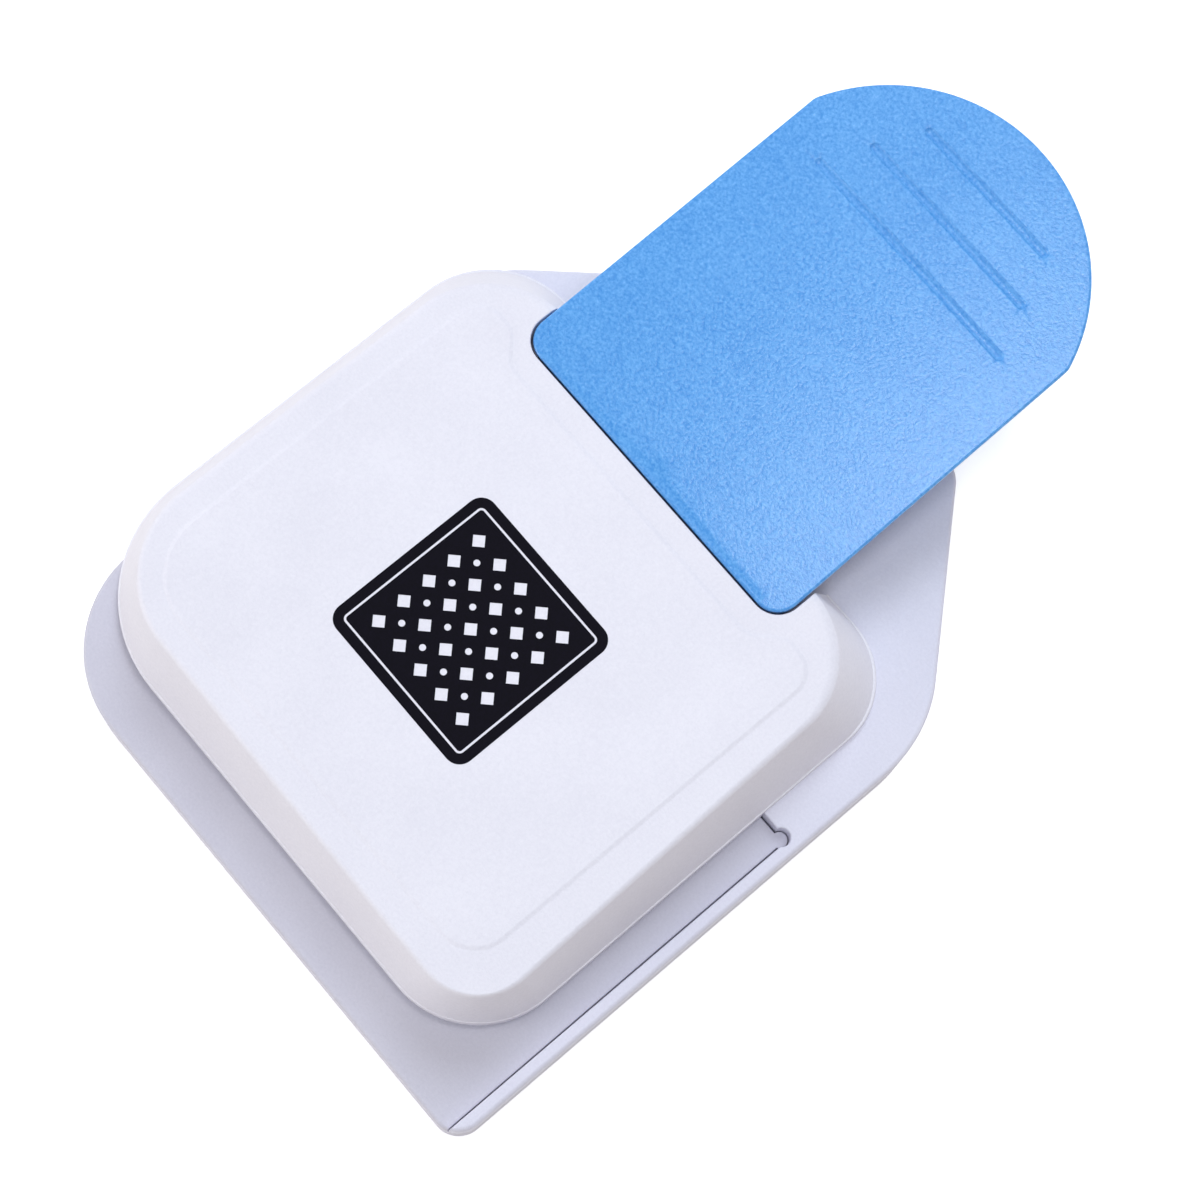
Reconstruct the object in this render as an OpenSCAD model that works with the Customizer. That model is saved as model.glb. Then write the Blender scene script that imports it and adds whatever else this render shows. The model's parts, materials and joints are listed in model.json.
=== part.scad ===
// Lever border punch: a low white case with a paper bed along its front and right edges,
// a blue palm lever at the rear, and a spring-returned punch and die set inside.
// The origin is on the table under the middle of the punch. +X is right as seen from the
// paper side, -Y is the paper side, +Y is the lever's end.

/* [Base] */
// Width of the base, from its left edge to the outside of the right fence
base_w = 109.4; // [105:0.2:115]
// Length of the base, from its front edge to its rear edge
base_l = 132.5; // [129:0.5:138]
// Height from the bottom edge of the base to the paper bed
bed_h = 9.5; // [9:0.1:11]
// Height of the paper slot, between the bed and the cover
slot_h = 2.5; // [2.2:0.1:3]
// Depth of the bed, from the front edge to the rear paper stop
stop_depth = 69.5; // [68:0.5:72]
// Width of the right fence beside the bed
fence_w = 2.7; // [2:0.1:4]
// Radius of the relief in the corner between the fence and the stop
relief_r = 1.5; // [1:0.1:2]
// Thickness of the base walls
base_wall = 2.2; // [1.8:0.1:2.6]
// Thickness of the paper bed's deck
deck_t = 2.5; // [2:0.1:3]
// Radius of the front left corner
front_left_r = 22; // [16:0.5:26]
// Radius of the front right corner
front_right_r = 4.5; // [3:0.5:8]
// Length of the right side, up to where it tapers in
right_side_l = 98.4; // [94:0.2:102]
// Length of the left side, up to where it tapers in
left_side_l = 91.8; // [88:0.2:95]
// Radius where the right side turns into its taper
right_shoulder_r = 30; // [20:1:34]
// Radius where the left side turns into its taper
left_shoulder_r = 16; // [10:1:24]
// Distance from the middle to the right end of the rear edge
rear_right = 24.9; // [22:0.1:28]
// Distance from the middle to the left end of the rear edge
rear_left = 20; // [18:0.1:24]
// Radius of the two rear corners
rear_r = 6; // [4:0.5:9]
// Fall of the rear platform towards the rear edge
rear_fall = 3; // [2.4:0.1:3.4]

/* [Bottom plate and feet] */
// Thickness of the bottom plate
plate_t = 1.4; // [1.2:0.1:1.8]
// Height of a rubber foot
foot_h = 1; // [0.8:0.1:1.5]
// Radius of a rubber foot
foot_r = 4.5; // [3.5:0.1:5.5]
// Distance of the front feet from the front edge
foot_front = 11; // [9.5:0.5:13]
// Distance of the rear feet from the rear edge
foot_rear = 10; // [9.5:0.5:13]

/* [Cover] */
// Ledge of the base to the right of the cover
right_ledge = 7.5; // [6.5:0.1:8.5]
// Ledge of the base to the left of the cover
left_ledge = 0.7; // [0.5:0.1:1.5]
// Ledge of the base in front of the cover
front_ledge = 7.4; // [6.5:0.1:8.5]
// Length of the cover at its bottom edge
cover_l = 93.1; // [91:0.1:95]
// Height of the cover
cover_h = 13.5; // [13:0.1:15]
// Height of the upright skirt at the cover's bottom edge
skirt_h = 1.2; // [0.8:0.1:2]
// Inward lean of the front and side walls over their height
wall_lean = 5.3; // [4.5:0.1:6]
// Inward lean of the rear wall over its height
rear_lean = 4.2; // [3.5:0.1:5]
// Corner radius of the cover at its bottom edge
cover_r = 14; // [11:0.5:16]
// Softening of the cover's upper edge
edge_r = 1.2; // [0.6:0.1:1.6]
// Thickness of the cover's walls and top
cover_wall = 2.2; // [1.8:0.1:2.4]
// Height of the raised panel on the top
panel_h = 0.6; // [0.4:0.1:1]
// Margin from the cover's upper edge to the raised panel
panel_margin = 5.1; // [4:0.1:6.5]
// Corner radius of the raised panel
panel_r = 6.5; // [4:0.5:9]

/* [Lever] */
// Distance from the base's front edge to the lever's front end
lever_depth = 87.76; // [86:0.02:90]
// Width of the lever's handle at its front end
handle_w = 61.7; // [59:0.1:63]
// Length of the handle along its slope
handle_l = 82.1; // [78:0.1:88]
// Narrowing of the handle from its front end to the tip's arc
handle_taper = 2; // [0:0.1:3]
// Radius of the handle's round tip
tip_r = 31.6; // [30.5:0.1:36]
// Radius of the handle's front corners
handle_r = 4.6; // [3:0.1:6]
// Thickness of the handle's top
handle_t = 2.6; // [2.2:0.1:3]
// Depth of the handle's rim below its top
rim_drop = 3; // [2.6:0.1:3.2]
// Thickness of the handle's rim
rim_t = 2.2; // [1.8:0.1:2.4]
// Slope of the handle at rest, in degrees
lever_tilt = 6; // [5:0.1:7]
// Angle that the lever is pressed through, in degrees
press_angle = 6.8; // [6.2:0.1:7.2]
// Step of the handle above the cover at its front end
lever_proud = 0.4; // [0.2:0.1:0.8]
// Gap around the handle in the cover's notch
lever_gap = 0.5; // [0.4:0.05:0.8]
// Number of grip grooves across the handle
groove_n = 3; // [2:1:4]
// Width of a grip groove
groove_w = 1.4; // [1:0.1:2]
// Depth of a grip groove
groove_d = 0.5; // [0.3:0.1:0.8]
// Spacing of the grip grooves along the handle
groove_pitch = 8.3; // [7:0.1:9]
// Distance from the tip to the nearest grip groove
groove_tip = 10.6; // [9:0.1:13]
// Length of the grip groove nearest the tip
groove_l = 27.5; // [22:0.5:32]
// Added length of each further grip groove
groove_step = 7.8; // [5:0.1:8]

/* [Mechanism] */
// Distance from the base's front edge to the lever's pivot pin
pivot_depth = 27; // [26:0.1:28]
// Distance from the pivot pin to the drive pin
drive_arm = 31; // [30:0.1:32]
// Radius of the pivot pin
pivot_r = 2; // [1.8:0.1:2.2]
// Radius of the drive pin
drive_r = 1.5; // [1.3:0.1:1.6]
// Thickness of the frame's and the yoke's sheet steel
sheet_t = 1.6; // [1.4:0.1:1.8]
// Thickness of the die plate
die_t = 2; // [1.6:0.1:2.4]
// Length of the die plate in front of the pivot pin
die_lead = 8; // [7.5:0.1:9]
// Length of the die plate behind the paper stop
die_tail = 19.5; // [18:0.1:20]
// Length of the frame's wide end behind the pivot pin
neck_l = 13; // [12:0.1:14]
// Length of the punch holder from front to rear
holder_l = 28; // [27:0.1:29]
// Radius of a guide post
post_r = 2; // [1.8:0.1:2.2]
// Wire diameter of the return springs
wire_d = 0.7; // [0.6:0.05:0.8]
// Outer diameter of the return springs
spring_d = 7.4; // [7:0.1:7.6]
// Number of turns of a return spring
spring_n = 5; // [4:1:6]

/* [Fits] */
// Radial running clearance of pins and posts
run_fit = 0.06; // [0.03:0.01:0.09]
// Radial clearance of fixed pins and screws
fixed_fit = 0.03; // [0.02:0.01:0.05]
// Clearance of the blades in the die and in the frame's guide holes
blade_fit = 0.08; // [0.05:0.01:0.1]
// Gap between a plate and the pocket that it lies in
seat_fit = 0.2; // [0.1:0.05:0.3]
// Least gap between moving pieces that don't touch
clear = 0.4; // [0.35:0.05:0.5]

/* [Screws] */
// Shank radius of the case, plate and frame screws
screw_r = 1.4; // [1.2:0.1:1.5]
// Head radius of those screws
head_r = 2.7; // [2.4:0.1:3]
// Shank radius of the handle screws
lever_screw_r = 1.2; // [1:0.1:1.4]
// Distance from the cover's side edges to the case screws
case_inset = 10.6; // [10:0.1:11]
// Distance from the base's front edge to the plate screws
plate_screw_depth = 17; // [16:0.5:19]

/* [Hidden] */
$fn = 48;

// Overshoot of a cut past the face that it opens
over = 1;
// Steps along a rounded corner of an outline
corner_n = 8;

// Places along the punch, measured so that its whole length is centred on the origin
rim_h = handle_t + rim_drop;
reach = lever_depth + handle_l * cos(lever_tilt) + rim_h * sin(lever_tilt);
front_y = -reach / 2;
rear_y = front_y + base_l;
stop_y = front_y + stop_depth;
lever_y = front_y + lever_depth;
pivot_y = front_y + pivot_depth;
drive_y = pivot_y + drive_arm;
cover_y0 = front_y + front_ledge;
cover_y1 = cover_y0 + cover_l;

// Places across the punch: the cover and the mechanism share one middle plane
cover_hw = (base_w - right_ledge - left_ledge) / 2;
cover_x = (left_ledge - right_ledge) / 2;
fence_x = base_w / 2 - fence_w;
case_x = cover_hw - case_inset;

// Heights
base_z = foot_h;
plate_top = base_z + plate_t;
bed_z = base_z + bed_h;
joint_z = bed_z - deck_t;
cover_z = bed_z + slot_h;
cover_top = cover_z + cover_h;
inner_top = cover_top - cover_wall;
lever_z = cover_top + lever_proud;

// Yoke, frame and punch widths step inwards from the handle's rim
yoke_hw = handle_w / 2 - rim_t - 1.15;
holder_hw = yoke_hw - sheet_t - 0.6;
cheek_in = yoke_hw + 0.8;
cheek_hw = cheek_in + sheet_t;
cheek_half = 6;
column_r = 4;
die_hw = case_x - column_r - 2;

// Lever linkage: the drive pin's height stays above the holder's lower face
yoke_top = inner_top - 0.9;
hub_r = 3.4;
pivot_z = yoke_top - hub_r;
drive_z = pivot_z + 0.9;
stroke = drive_arm * press_angle * PI / 180;
boss_h = 1.4;
web_top = -(handle_t + boss_h);
web_low = web_top - sheet_t;
web_l = 56;
web_wide_l = 24;
tongue_hw = 18;
handle_screw_edge = 5;
handle_screw_end = 6;
handle_screw_row = 20;

// Punch and die stack
frame_top = cover_z + sheet_t;
holder_z = frame_top + stroke + clear;
holder_top = inner_top - 0.6;
tip_z = cover_z + 0.3;
die_front = pivot_y - die_lead;
die_rear = stop_y + die_tail;
frame_front = die_front + 1;
neck_y = pivot_y + neck_l;
frame_rear = pivot_y + (yoke_top - sheet_t - frame_top - clear) / sin(press_angle);
frame_screw_y = (stop_y + frame_rear) / 2;
post_x = holder_hw - 5.3;
post_y = holder_l / 2 - 4.8;
post_top = inner_top - 0.3;
pocket_r = spring_d / 2 + 0.5;
pocket_top = holder_top - 1;
rivet_gap = 0.3;
rivet_t = 0.7;
seat_margin = 4;
seat_low = bed_z - die_t - 3.5;

// Pattern of the punch: two rows of round holes and a four-petal flower
cell_y = drive_y - 1.5;
cell_pitch = 4.4;
cell_r = 1.3;
row_off = 8.4;
petal_arc_r = 4.2;
petal_shift = 3.1;
petal_off = 3.6;
chip_hw = 3 * cell_pitch + cell_r + 2.5;
chip_hl = row_off + cell_r + 2.2;

// Return spring: a helix of round wire between the frame and the holder's pocket
spring_z0 = frame_top + wire_d / 2;
spring_z1 = pocket_top - wire_d / 2;
coil_r = (spring_d - wire_d) / 2;
coil_steps = 8;
wire_sides = 6;

function unit(v) = v / norm(v);
function cross_2d(a, b) = a[0] * b[1] - a[1] * b[0];
function flat(p) = [p[0], p[1]];

// Arc of radius r that rounds the corner q between its neighbours a and b
function corner_arc(a, q, b, r) =
    let (
        u = unit(a - q),
        v = unit(b - q),
        half = acos(u * v) / 2,
        c = q + unit(u + v) * r / sin(half),
        s = q + u * r / tan(half) - c,
        e = q + v * r / tan(half) - c,
        a0 = atan2(s[1], s[0]),
        turn = (atan2(e[1], e[0]) - a0 + 540) % 360 - 180
    )
    [for (i = [0:corner_n]) c + r * [cos(a0 + turn * i / corner_n), sin(a0 + turn * i / corner_n)]];

// Outline through a list of corners [x, y, radius], listed counter-clockwise
function outline(corners) =
    let (k = len(corners))
    [for (i = [0:k - 1]) each corner_arc(
        flat(corners[(i + k - 1) % k]), flat(corners[i]), flat(corners[(i + 1) % k]), corners[i][2])];

// The same corners moved inwards by d, with their radii kept concentric
function inset(corners, d) =
    let (k = len(corners))
    [for (i = [0:k - 1])
        let (
            q = flat(corners[i]),
            u = unit(flat(corners[(i + k - 1) % k]) - q),
            v = unit(flat(corners[(i + 1) % k]) - q),
            side = sign(cross_2d(v, u)),
            p = q + (u + v) * d * side / abs(cross_2d(u, v))
        )
        [p[0], p[1], max(corners[i][2] - d * side, 0.3)]];

base_corners = [
    [-base_w / 2, front_y, front_left_r],
    [base_w / 2, front_y, front_right_r],
    [base_w / 2, front_y + right_side_l, right_shoulder_r],
    [rear_right, rear_y, rear_r],
    [-rear_left, rear_y, rear_r],
    [-base_w / 2, front_y + left_side_l, left_shoulder_r]
];

// Cover outline, drawn in by side at the front and sides and by rear at the rear
function cover_corners(side, rear) =
    let (r = max(cover_r - 0.7 * side, 2))
    [
        [-cover_hw + side, cover_y0 + side, r],
        [cover_hw - side, cover_y0 + side, r],
        [cover_hw - side, cover_y1 - rear, r],
        [-cover_hw + side, cover_y1 - rear, r]
    ];

// Raised panel: follows the cover's edge, and steps back round the lever's front corners
panel_hw = cover_hw - wall_lean - panel_margin;
panel_y0 = cover_y0 + wall_lean + panel_margin;
panel_y1 = lever_y - 4.6;
ear_step = 4.3;
ear_in = handle_w / 2 - 2.3;
ear_out = handle_w / 2 + 1.7;
ear_r = 3.2;
panel_corners = [
    [-panel_hw, panel_y0, panel_r],
    [panel_hw, panel_y0, panel_r],
    [panel_hw, panel_y1 + ear_step, ear_r],
    [ear_out, panel_y1 + ear_step, ear_r],
    [ear_in, panel_y1, ear_r],
    [-ear_in, panel_y1, ear_r],
    [-ear_out, panel_y1 + ear_step, ear_r],
    [-panel_hw, panel_y1 + ear_step, ear_r]
];

// Handle outline in its own plane, drawn in by d: straight tapered sides and a round tip
function handle_outline(d) =
    let (
        r = tip_r - d,
        hw0 = handle_w / 2 - d,
        hw1 = hw0 - handle_taper / 2,
        a = asin(hw1 / r),
        mid = handle_l - tip_r,
        cr = max(handle_r - d, 0.6),
        joint = [hw1, mid + r * cos(a)]
    )
    concat(
        corner_arc([-hw1, joint[1]], [-hw0, d], [hw0, d], cr),
        corner_arc([-hw0, d], [hw0, d], joint, cr),
        [for (i = [0:24]) [r * sin(a - 2 * a * i / 24), mid + r * cos(a - 2 * a * i / 24)]]
    );

// Point of the handle's side view at distance v along its slope and w above its top face
function handle_point(v, w) = [
    lever_y + v * cos(lever_tilt) - w * sin(lever_tilt),
    lever_z + v * sin(lever_tilt) + w * cos(lever_tilt)
];

// Distance along the handle where its web reaches height z
function web_reach(z, w) = (z - lever_z - w * cos(lever_tilt)) / sin(lever_tilt);

// Lowest resting height at y for a lever edge that must clear level when the lever is down
function clear_z(y, level) = level + clear + (y - pivot_y) * sin(press_angle);

function spring_point(i) =
    let (t = i / (spring_n * coil_steps), a = 360 * i / coil_steps)
    [coil_r * cos(a), coil_r * sin(a), spring_z0 + (spring_z1 - spring_z0) * t];
spring_path = [for (i = [0:spring_n * coil_steps]) spring_point(i)];
spring_gap = min([for (i = [0:len(spring_path) - 1], j = [0:len(spring_path) - 1])
    if (j - i >= coil_steps / 2) norm(spring_path[j] - spring_path[i])]) - wire_d;
echo(str("least gap between the turns of a return spring: ", spring_gap, " mm"));

// Places of repeated fasteners, from the middle plane of the cover, and of the feet
case_stop_in = 7.5;
case_rear_in = 10.5;
foot_left_in = front_left_r + 2;
foot_right_in = foot_r + 7.5;
case_places = [for (x = [-case_x, case_x], y = [stop_y + case_stop_in, cover_y1 - case_rear_in]) [x, y]];
plate_places = [for (x = [-case_x, case_x]) [x, front_y + plate_screw_depth]];
frame_places = [for (x = [-0.8, -0.35, 0.35, 0.8]) [x * holder_hw, frame_screw_y]];
post_places = [for (x = [-post_x, post_x], y = [-post_y, post_y]) [x, drive_y + y]];
foot_places = [
    [-base_w / 2 + foot_left_in, front_y + foot_front],
    [base_w / 2 - foot_right_in, front_y + foot_front],
    [-rear_left + rear_r, rear_y - foot_rear],
    [rear_right - rear_r, rear_y - foot_rear]
];
handle_screw_x = tongue_hw - handle_screw_edge;
handle_screw_y = web_l - handle_screw_end;
handle_places = [
    [0, handle_screw_y - handle_screw_row],
    [-handle_screw_x, handle_screw_y],
    [handle_screw_x, handle_screw_y]
];

module on_body() {
    translate([cover_x, 0, 0]) children();
}

module on_handle() {
    translate([cover_x, lever_y, lever_z]) rotate([lever_tilt, 0, 0]) children();
}

// Extrudes a side view, drawn in the Y-Z plane, across width w
module across(w) {
    translate([-w / 2, 0, 0]) rotate([90, 0, 90]) linear_extrude(w) children();
}

// Upright block between two heights with the given outline
module slab(z0, z1, points) {
    translate([0, 0, z0]) linear_extrude(z1 - z0) polygon(points);
}

// Block of half width hw between two depths and two heights
module block(hw, y0, y1, z0, z1) {
    translate([-hw, y0, z0]) cube([2 * hw, y1 - y0, z1 - z0]);
}

// Solid through a stack of convex rings that all have the same number of points
module loft(rings, heights) {
    k = len(rings[0]);
    n = len(rings);
    points = [for (j = [0:n - 1], p = rings[j]) [p[0], p[1], heights[j]]];
    low = [for (i = [1:k - 2]) [0, i, i + 1]];
    high = [for (i = [1:k - 2]) [(n - 1) * k, (n - 1) * k + i + 1, (n - 1) * k + i]];
    sides = [for (j = [0:n - 2], i = [0:k - 1])
        let (a = j * k + i, b = j * k + (i + 1) % k)
        each [[a, a + k, b + k], [a, b + k, b]]];
    polyhedron(points, concat(low, high, sides));
}

// Countersunk screw with its head's flat face at z = 0 and its shank pointing up
module flat_screw(length, r, big_r, head_h) {
    difference() {
        union() {
            cylinder(h = head_h, r1 = big_r, r2 = r);
            cylinder(h = length, r = r);
        }
        for (a = [0, 90]) rotate([0, 0, a]) cube([big_r * 1.1, 0.6, head_h * 1.1], center = true);
    }
}

// Hole for a countersunk screw, wider by fit all round and open below its head
module flat_hole(length, r, big_r, head_h, fit) {
    cylinder(h = head_h, r1 = big_r + fit, r2 = r + fit);
    translate([0, 0, -over]) cylinder(h = length + over, r = r + fit);
}

// Holes or blades of the punched pattern, grown all round by g
module cells(g) {
    for (i = [-3:3], side = [-1, 1]) {
        translate([i * cell_pitch, cell_y + side * row_off]) circle(cell_r + g);
    }
    for (a = [0:90:270]) {
        translate([0, cell_y]) rotate(a) translate([petal_off, 0]) intersection() {
            translate([0, petal_shift]) circle(petal_arc_r + g);
            translate([0, -petal_shift]) circle(petal_arc_r + g);
        }
    }
}

// Side view of the guide: flat to the cover's rear edge, then falling to the rear, less t
module guide_side(z0, t) {
    polygon([
        [front_y - over, z0],
        [rear_y + over, z0],
        [rear_y + over, cover_z - rear_fall - t],
        [cover_y1, cover_z - t],
        [front_y - over, cover_z - t]
    ]);
}

// Block over the paper bed, set back by d from the fence and the stop
module bed_block(d, z0, z1) {
    translate([-base_w, front_y - over, z0])
        cube([base_w + fence_x - d, stop_depth + over - d, z1 - z0]);
}

// Room inside the tray: a recess for the bottom plate, and hollows under the bed and behind it
module tray_room() {
    intersection() {
        slab(base_z - over, joint_z + over, outline(inset(base_corners, base_wall)));
        union() {
            block(base_w, front_y, rear_y, base_z - over, plate_top);
            block(base_w, stop_y - seat_fit, rear_y, base_z - over, joint_z + over);
            bed_block(base_wall, base_z - over, joint_z);
        }
    }
}

// Moulded tray: low walls and the paper bed, with the die's seat and the screw columns below
module base_shell() {
    color([0.93, 0.93, 0.95]) difference() {
        union() {
            difference() {
                intersection() {
                    slab(base_z, bed_z, outline(base_corners));
                    union() {
                        block(base_w, front_y - over, rear_y + over, base_z, joint_z);
                        bed_block(seat_fit, base_z, bed_z);
                    }
                }
                tray_room();
            }
            on_body() {
                block(die_hw + seat_margin, die_front - seat_margin, die_rear + seat_margin,
                    seat_low, joint_z);
                block(die_hw, stop_y - over, die_rear, seat_low, bed_z - die_t);
                for (p = case_places) translate([p[0], p[1], plate_top])
                    cylinder(h = joint_z - plate_top, r = column_r);
                for (p = plate_places) translate([p[0], p[1], plate_top])
                    cylinder(h = bed_z - deck_t / 2 - plate_top, r = column_r - 0.8);
            }
        }
        on_body() {
            block(die_hw + seat_fit, die_front - seat_fit, die_rear + seat_fit,
                bed_z - die_t, cover_z + over);
            block(chip_hw, cell_y - chip_hl, cell_y + chip_hl, base_z, bed_z);
            for (p = case_places) translate([p[0], p[1], base_z])
                cylinder(h = cover_z, r = screw_r + seat_fit);
            for (p = plate_places) translate([p[0], p[1], base_z])
                cylinder(h = bed_h - deck_t, r = screw_r + fixed_fit);
            for (p = frame_places) translate([p[0], p[1], seat_low + 0.5])
                cylinder(h = cover_z, r = screw_r + fixed_fit);
        }
    }
}

// Moulded guide on the tray: the right fence, the rear stop and the falling rear platform
module paper_guide() {
    color([0.93, 0.93, 0.95]) difference() {
        union() {
            difference() {
                intersection() {
                    slab(joint_z, cover_z, outline(base_corners));
                    across(2 * base_w) guide_side(joint_z, 0);
                }
                bed_block(0, joint_z - over, cover_z + over);
                translate([fence_x - relief_r / 3, stop_y - relief_r / 3, joint_z - over])
                    cylinder(h = cover_z, r = relief_r);
                intersection() {
                    slab(joint_z - over, cover_z, outline(inset(base_corners, base_wall)));
                    across(2 * base_w) guide_side(joint_z - over, base_wall);
                    block(base_w, stop_y + base_wall, rear_y, joint_z - over, cover_z);
                }
            }
            on_body() for (p = case_places) translate([p[0], p[1], joint_z])
                cylinder(h = cover_z - base_wall / 2 - joint_z, r = column_r);
        }
        on_body() {
            block(die_hw + seat_fit, stop_y - over, die_rear + seat_fit, joint_z - over, cover_z + over);
            for (p = case_places) translate([p[0], p[1], base_z])
                cylinder(h = cover_z, r = screw_r + seat_fit);
        }
    }
}

module bottom_plate() {
    color([0.86, 0.86, 0.89]) difference() {
        slab(base_z, plate_top, outline(inset(base_corners, base_wall + seat_fit)));
        on_body() {
            block(chip_hw, cell_y - chip_hl, cell_y + chip_hl, base_z - over, plate_top + over);
            for (p = concat(case_places, plate_places)) translate([p[0], p[1], base_z])
                flat_hole(plate_t + over, screw_r, head_r, plate_t, fixed_fit);
        }
    }
}

module rubber_feet() {
    color([0.13, 0.13, 0.14]) for (p = foot_places) translate([p[0], p[1], 0])
        cylinder(h = foot_h, r = foot_r);
}

module plate_screws() {
    color([0.62, 0.63, 0.66]) on_body() for (p = plate_places) translate([p[0], p[1], base_z])
        flat_screw(bed_h - deck_t - 1.2, screw_r, head_r, plate_t);
}

module case_screws() {
    color([0.62, 0.63, 0.66]) on_body() for (p = case_places) translate([p[0], p[1], base_z])
        flat_screw(cover_z - base_z + cover_h / 2, screw_r, head_r, plate_t);
}

module die_plate() {
    color([0.70, 0.71, 0.73]) on_body() difference() {
        block(die_hw, die_front, die_rear, bed_z - die_t, bed_z);
        translate([0, 0, bed_z - die_t - over]) linear_extrude(die_t + 2 * over) cells(blade_fit);
        for (p = frame_places) translate([p[0], p[1], seat_low])
            cylinder(h = cover_z, r = screw_r + seat_fit);
    }
}

module spacer_plate() {
    color([0.66, 0.67, 0.70]) on_body() difference() {
        block(die_hw, stop_y, die_rear, bed_z, cover_z);
        for (p = frame_places) translate([p[0], p[1], seat_low])
            cylinder(h = cover_z, r = screw_r + seat_fit);
    }
}

// Frame: a T-shaped guide plate above the slot, with two cheeks that carry the pivot pin
module upper_frame() {
    color([0.74, 0.75, 0.77]) on_body() difference() {
        union() {
            block(cheek_hw, frame_front, neck_y, cover_z, frame_top);
            block(holder_hw + 0.1, neck_y - over, frame_rear, cover_z, frame_top);
            for (side = [-1, 1]) translate([side * (cheek_in + sheet_t / 2), 0, 0]) across(sheet_t)
                polygon(outline([
                    [frame_front, frame_top - sheet_t, 0.3],
                    [neck_y, frame_top - sheet_t, 0.3],
                    [pivot_y + cheek_half, yoke_top + 0.2, 3],
                    [pivot_y - cheek_half, yoke_top + 0.2, 3]
                ]));
        }
        translate([0, 0, cover_z - over]) linear_extrude(sheet_t + 2 * over) cells(blade_fit);
        translate([-cheek_hw - over, pivot_y, pivot_z]) rotate([0, 90, 0])
            cylinder(h = 2 * (cheek_hw + over), r = pivot_r + fixed_fit);
        for (p = post_places) translate([p[0], p[1], cover_z - over])
            cylinder(h = sheet_t + 2 * over, r = post_r + fixed_fit);
        for (p = frame_places) translate([p[0], p[1], frame_top]) mirror([0, 0, 1])
            flat_hole(sheet_t + over, screw_r, head_r, sheet_t * 0.85, fixed_fit);
    }
}

module frame_screws() {
    color([0.55, 0.56, 0.59]) on_body() for (p = frame_places) translate([p[0], p[1], frame_top])
        mirror([0, 0, 1]) flat_screw(frame_top - seat_low - 1.2, screw_r, head_r, sheet_t * 0.85);
}

module guide_posts() {
    color([0.80, 0.81, 0.83]) on_body() for (p = post_places) translate([p[0], p[1], cover_z])
        cylinder(h = post_top - cover_z, r = post_r);
}

// One spring's wire: rings of wire_sides points square to the helix, joined into a closed tube
module spring_wire() {
    k = wire_sides;
    n = len(spring_path);
    rise = (spring_z1 - spring_z0) / (spring_n * 360) * 180 / PI;
    lean = atan2(rise, coil_r);
    points = [for (i = [0:n - 1], s = [0:k - 1])
        let (a = 360 * i / coil_steps, b = 360 * s / k, out = [cos(a), sin(a), 0],
            up = [sin(a) * sin(lean), -cos(a) * sin(lean), cos(lean)])
        spring_path[i] + wire_d / 2 * (cos(b) * out + sin(b) * up)];
    low = [for (s = [1:k - 2]) [0, s, s + 1]];
    high = [for (s = [1:k - 2]) [(n - 1) * k, (n - 1) * k + s + 1, (n - 1) * k + s]];
    sides = [for (i = [0:n - 2], s = [0:k - 1])
        let (a = i * k + s, b = i * k + (s + 1) % k)
        each [[a, a + k, b + k], [a, b + k, b]]];
    polyhedron(points, concat(low, high, sides));
}

module return_springs() {
    color([0.72, 0.73, 0.75]) on_body() for (p = post_places) translate([p[0], p[1], 0]) spring_wire();
}

module punch_holder() {
    color([0.68, 0.69, 0.72]) on_body() difference() {
        block(holder_hw, drive_y - holder_l / 2, drive_y + holder_l / 2, holder_z, holder_top);
        translate([-holder_hw - over, drive_y, drive_z]) rotate([0, 90, 0])
            cylinder(h = 2 * (holder_hw + over), r = drive_r + fixed_fit);
        for (p = post_places) translate([p[0], p[1], 0]) {
            translate([0, 0, holder_z - over]) cylinder(h = holder_top, r = post_r + run_fit);
            translate([0, 0, holder_z - over]) cylinder(h = pocket_top - holder_z + over, r = pocket_r);
        }
    }
}

module punch_blades() {
    color([0.78, 0.79, 0.81]) on_body() translate([0, 0, tip_z]) linear_extrude(holder_z - tip_z) cells(0);
}

// Drive pin, riveted over outside the yoke's arms
module drive_pin() {
    color([0.80, 0.81, 0.83]) on_body() translate([0, drive_y, drive_z]) rotate([0, 90, 0]) {
        cylinder(h = 2 * (yoke_hw + rivet_gap), r = drive_r, center = true);
        for (side = [-1, 1]) translate([0, 0, side * (yoke_hw + rivet_gap + rivet_t / 2)])
            cylinder(h = rivet_t, r = drive_r + 0.8, center = true);
    }
}

// Pivot pin, grooved near both ends for its clips
clip_t = 0.6;
clip_x = 0.15;
pin_end = 0.9;
groove_r = pivot_r - 0.4;
module pivot_pin() {
    half = cheek_hw + clip_x + clip_t + pin_end;
    color([0.80, 0.81, 0.83]) on_body() translate([0, pivot_y, pivot_z]) rotate([0, 90, 0]) difference() {
        cylinder(h = 2 * half, r = pivot_r, center = true);
        for (side = [-1, 1]) translate([0, 0, side * (cheek_hw + clip_x + clip_t / 2)]) difference() {
            cylinder(h = clip_t + fixed_fit, r = pivot_r + over, center = true);
            cylinder(h = clip_t + 2 * over, r = groove_r, center = true);
        }
    }
}

module pivot_clips() {
    color([0.45, 0.46, 0.49]) on_body() for (side = [-1, 1])
        translate([side * (cheek_hw + clip_x + clip_t / 2), pivot_y, pivot_z]) rotate([0, 90, 0]) difference() {
            cylinder(h = clip_t, r = pivot_r + 1.4, center = true);
            cylinder(h = clip_t + over, r = groove_r + fixed_fit, center = true);
            translate([-pivot_r * 2, 0, 0]) cube([pivot_r * 4, groove_r * 1.7, clip_t + over], center = true);
        }
}

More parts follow.
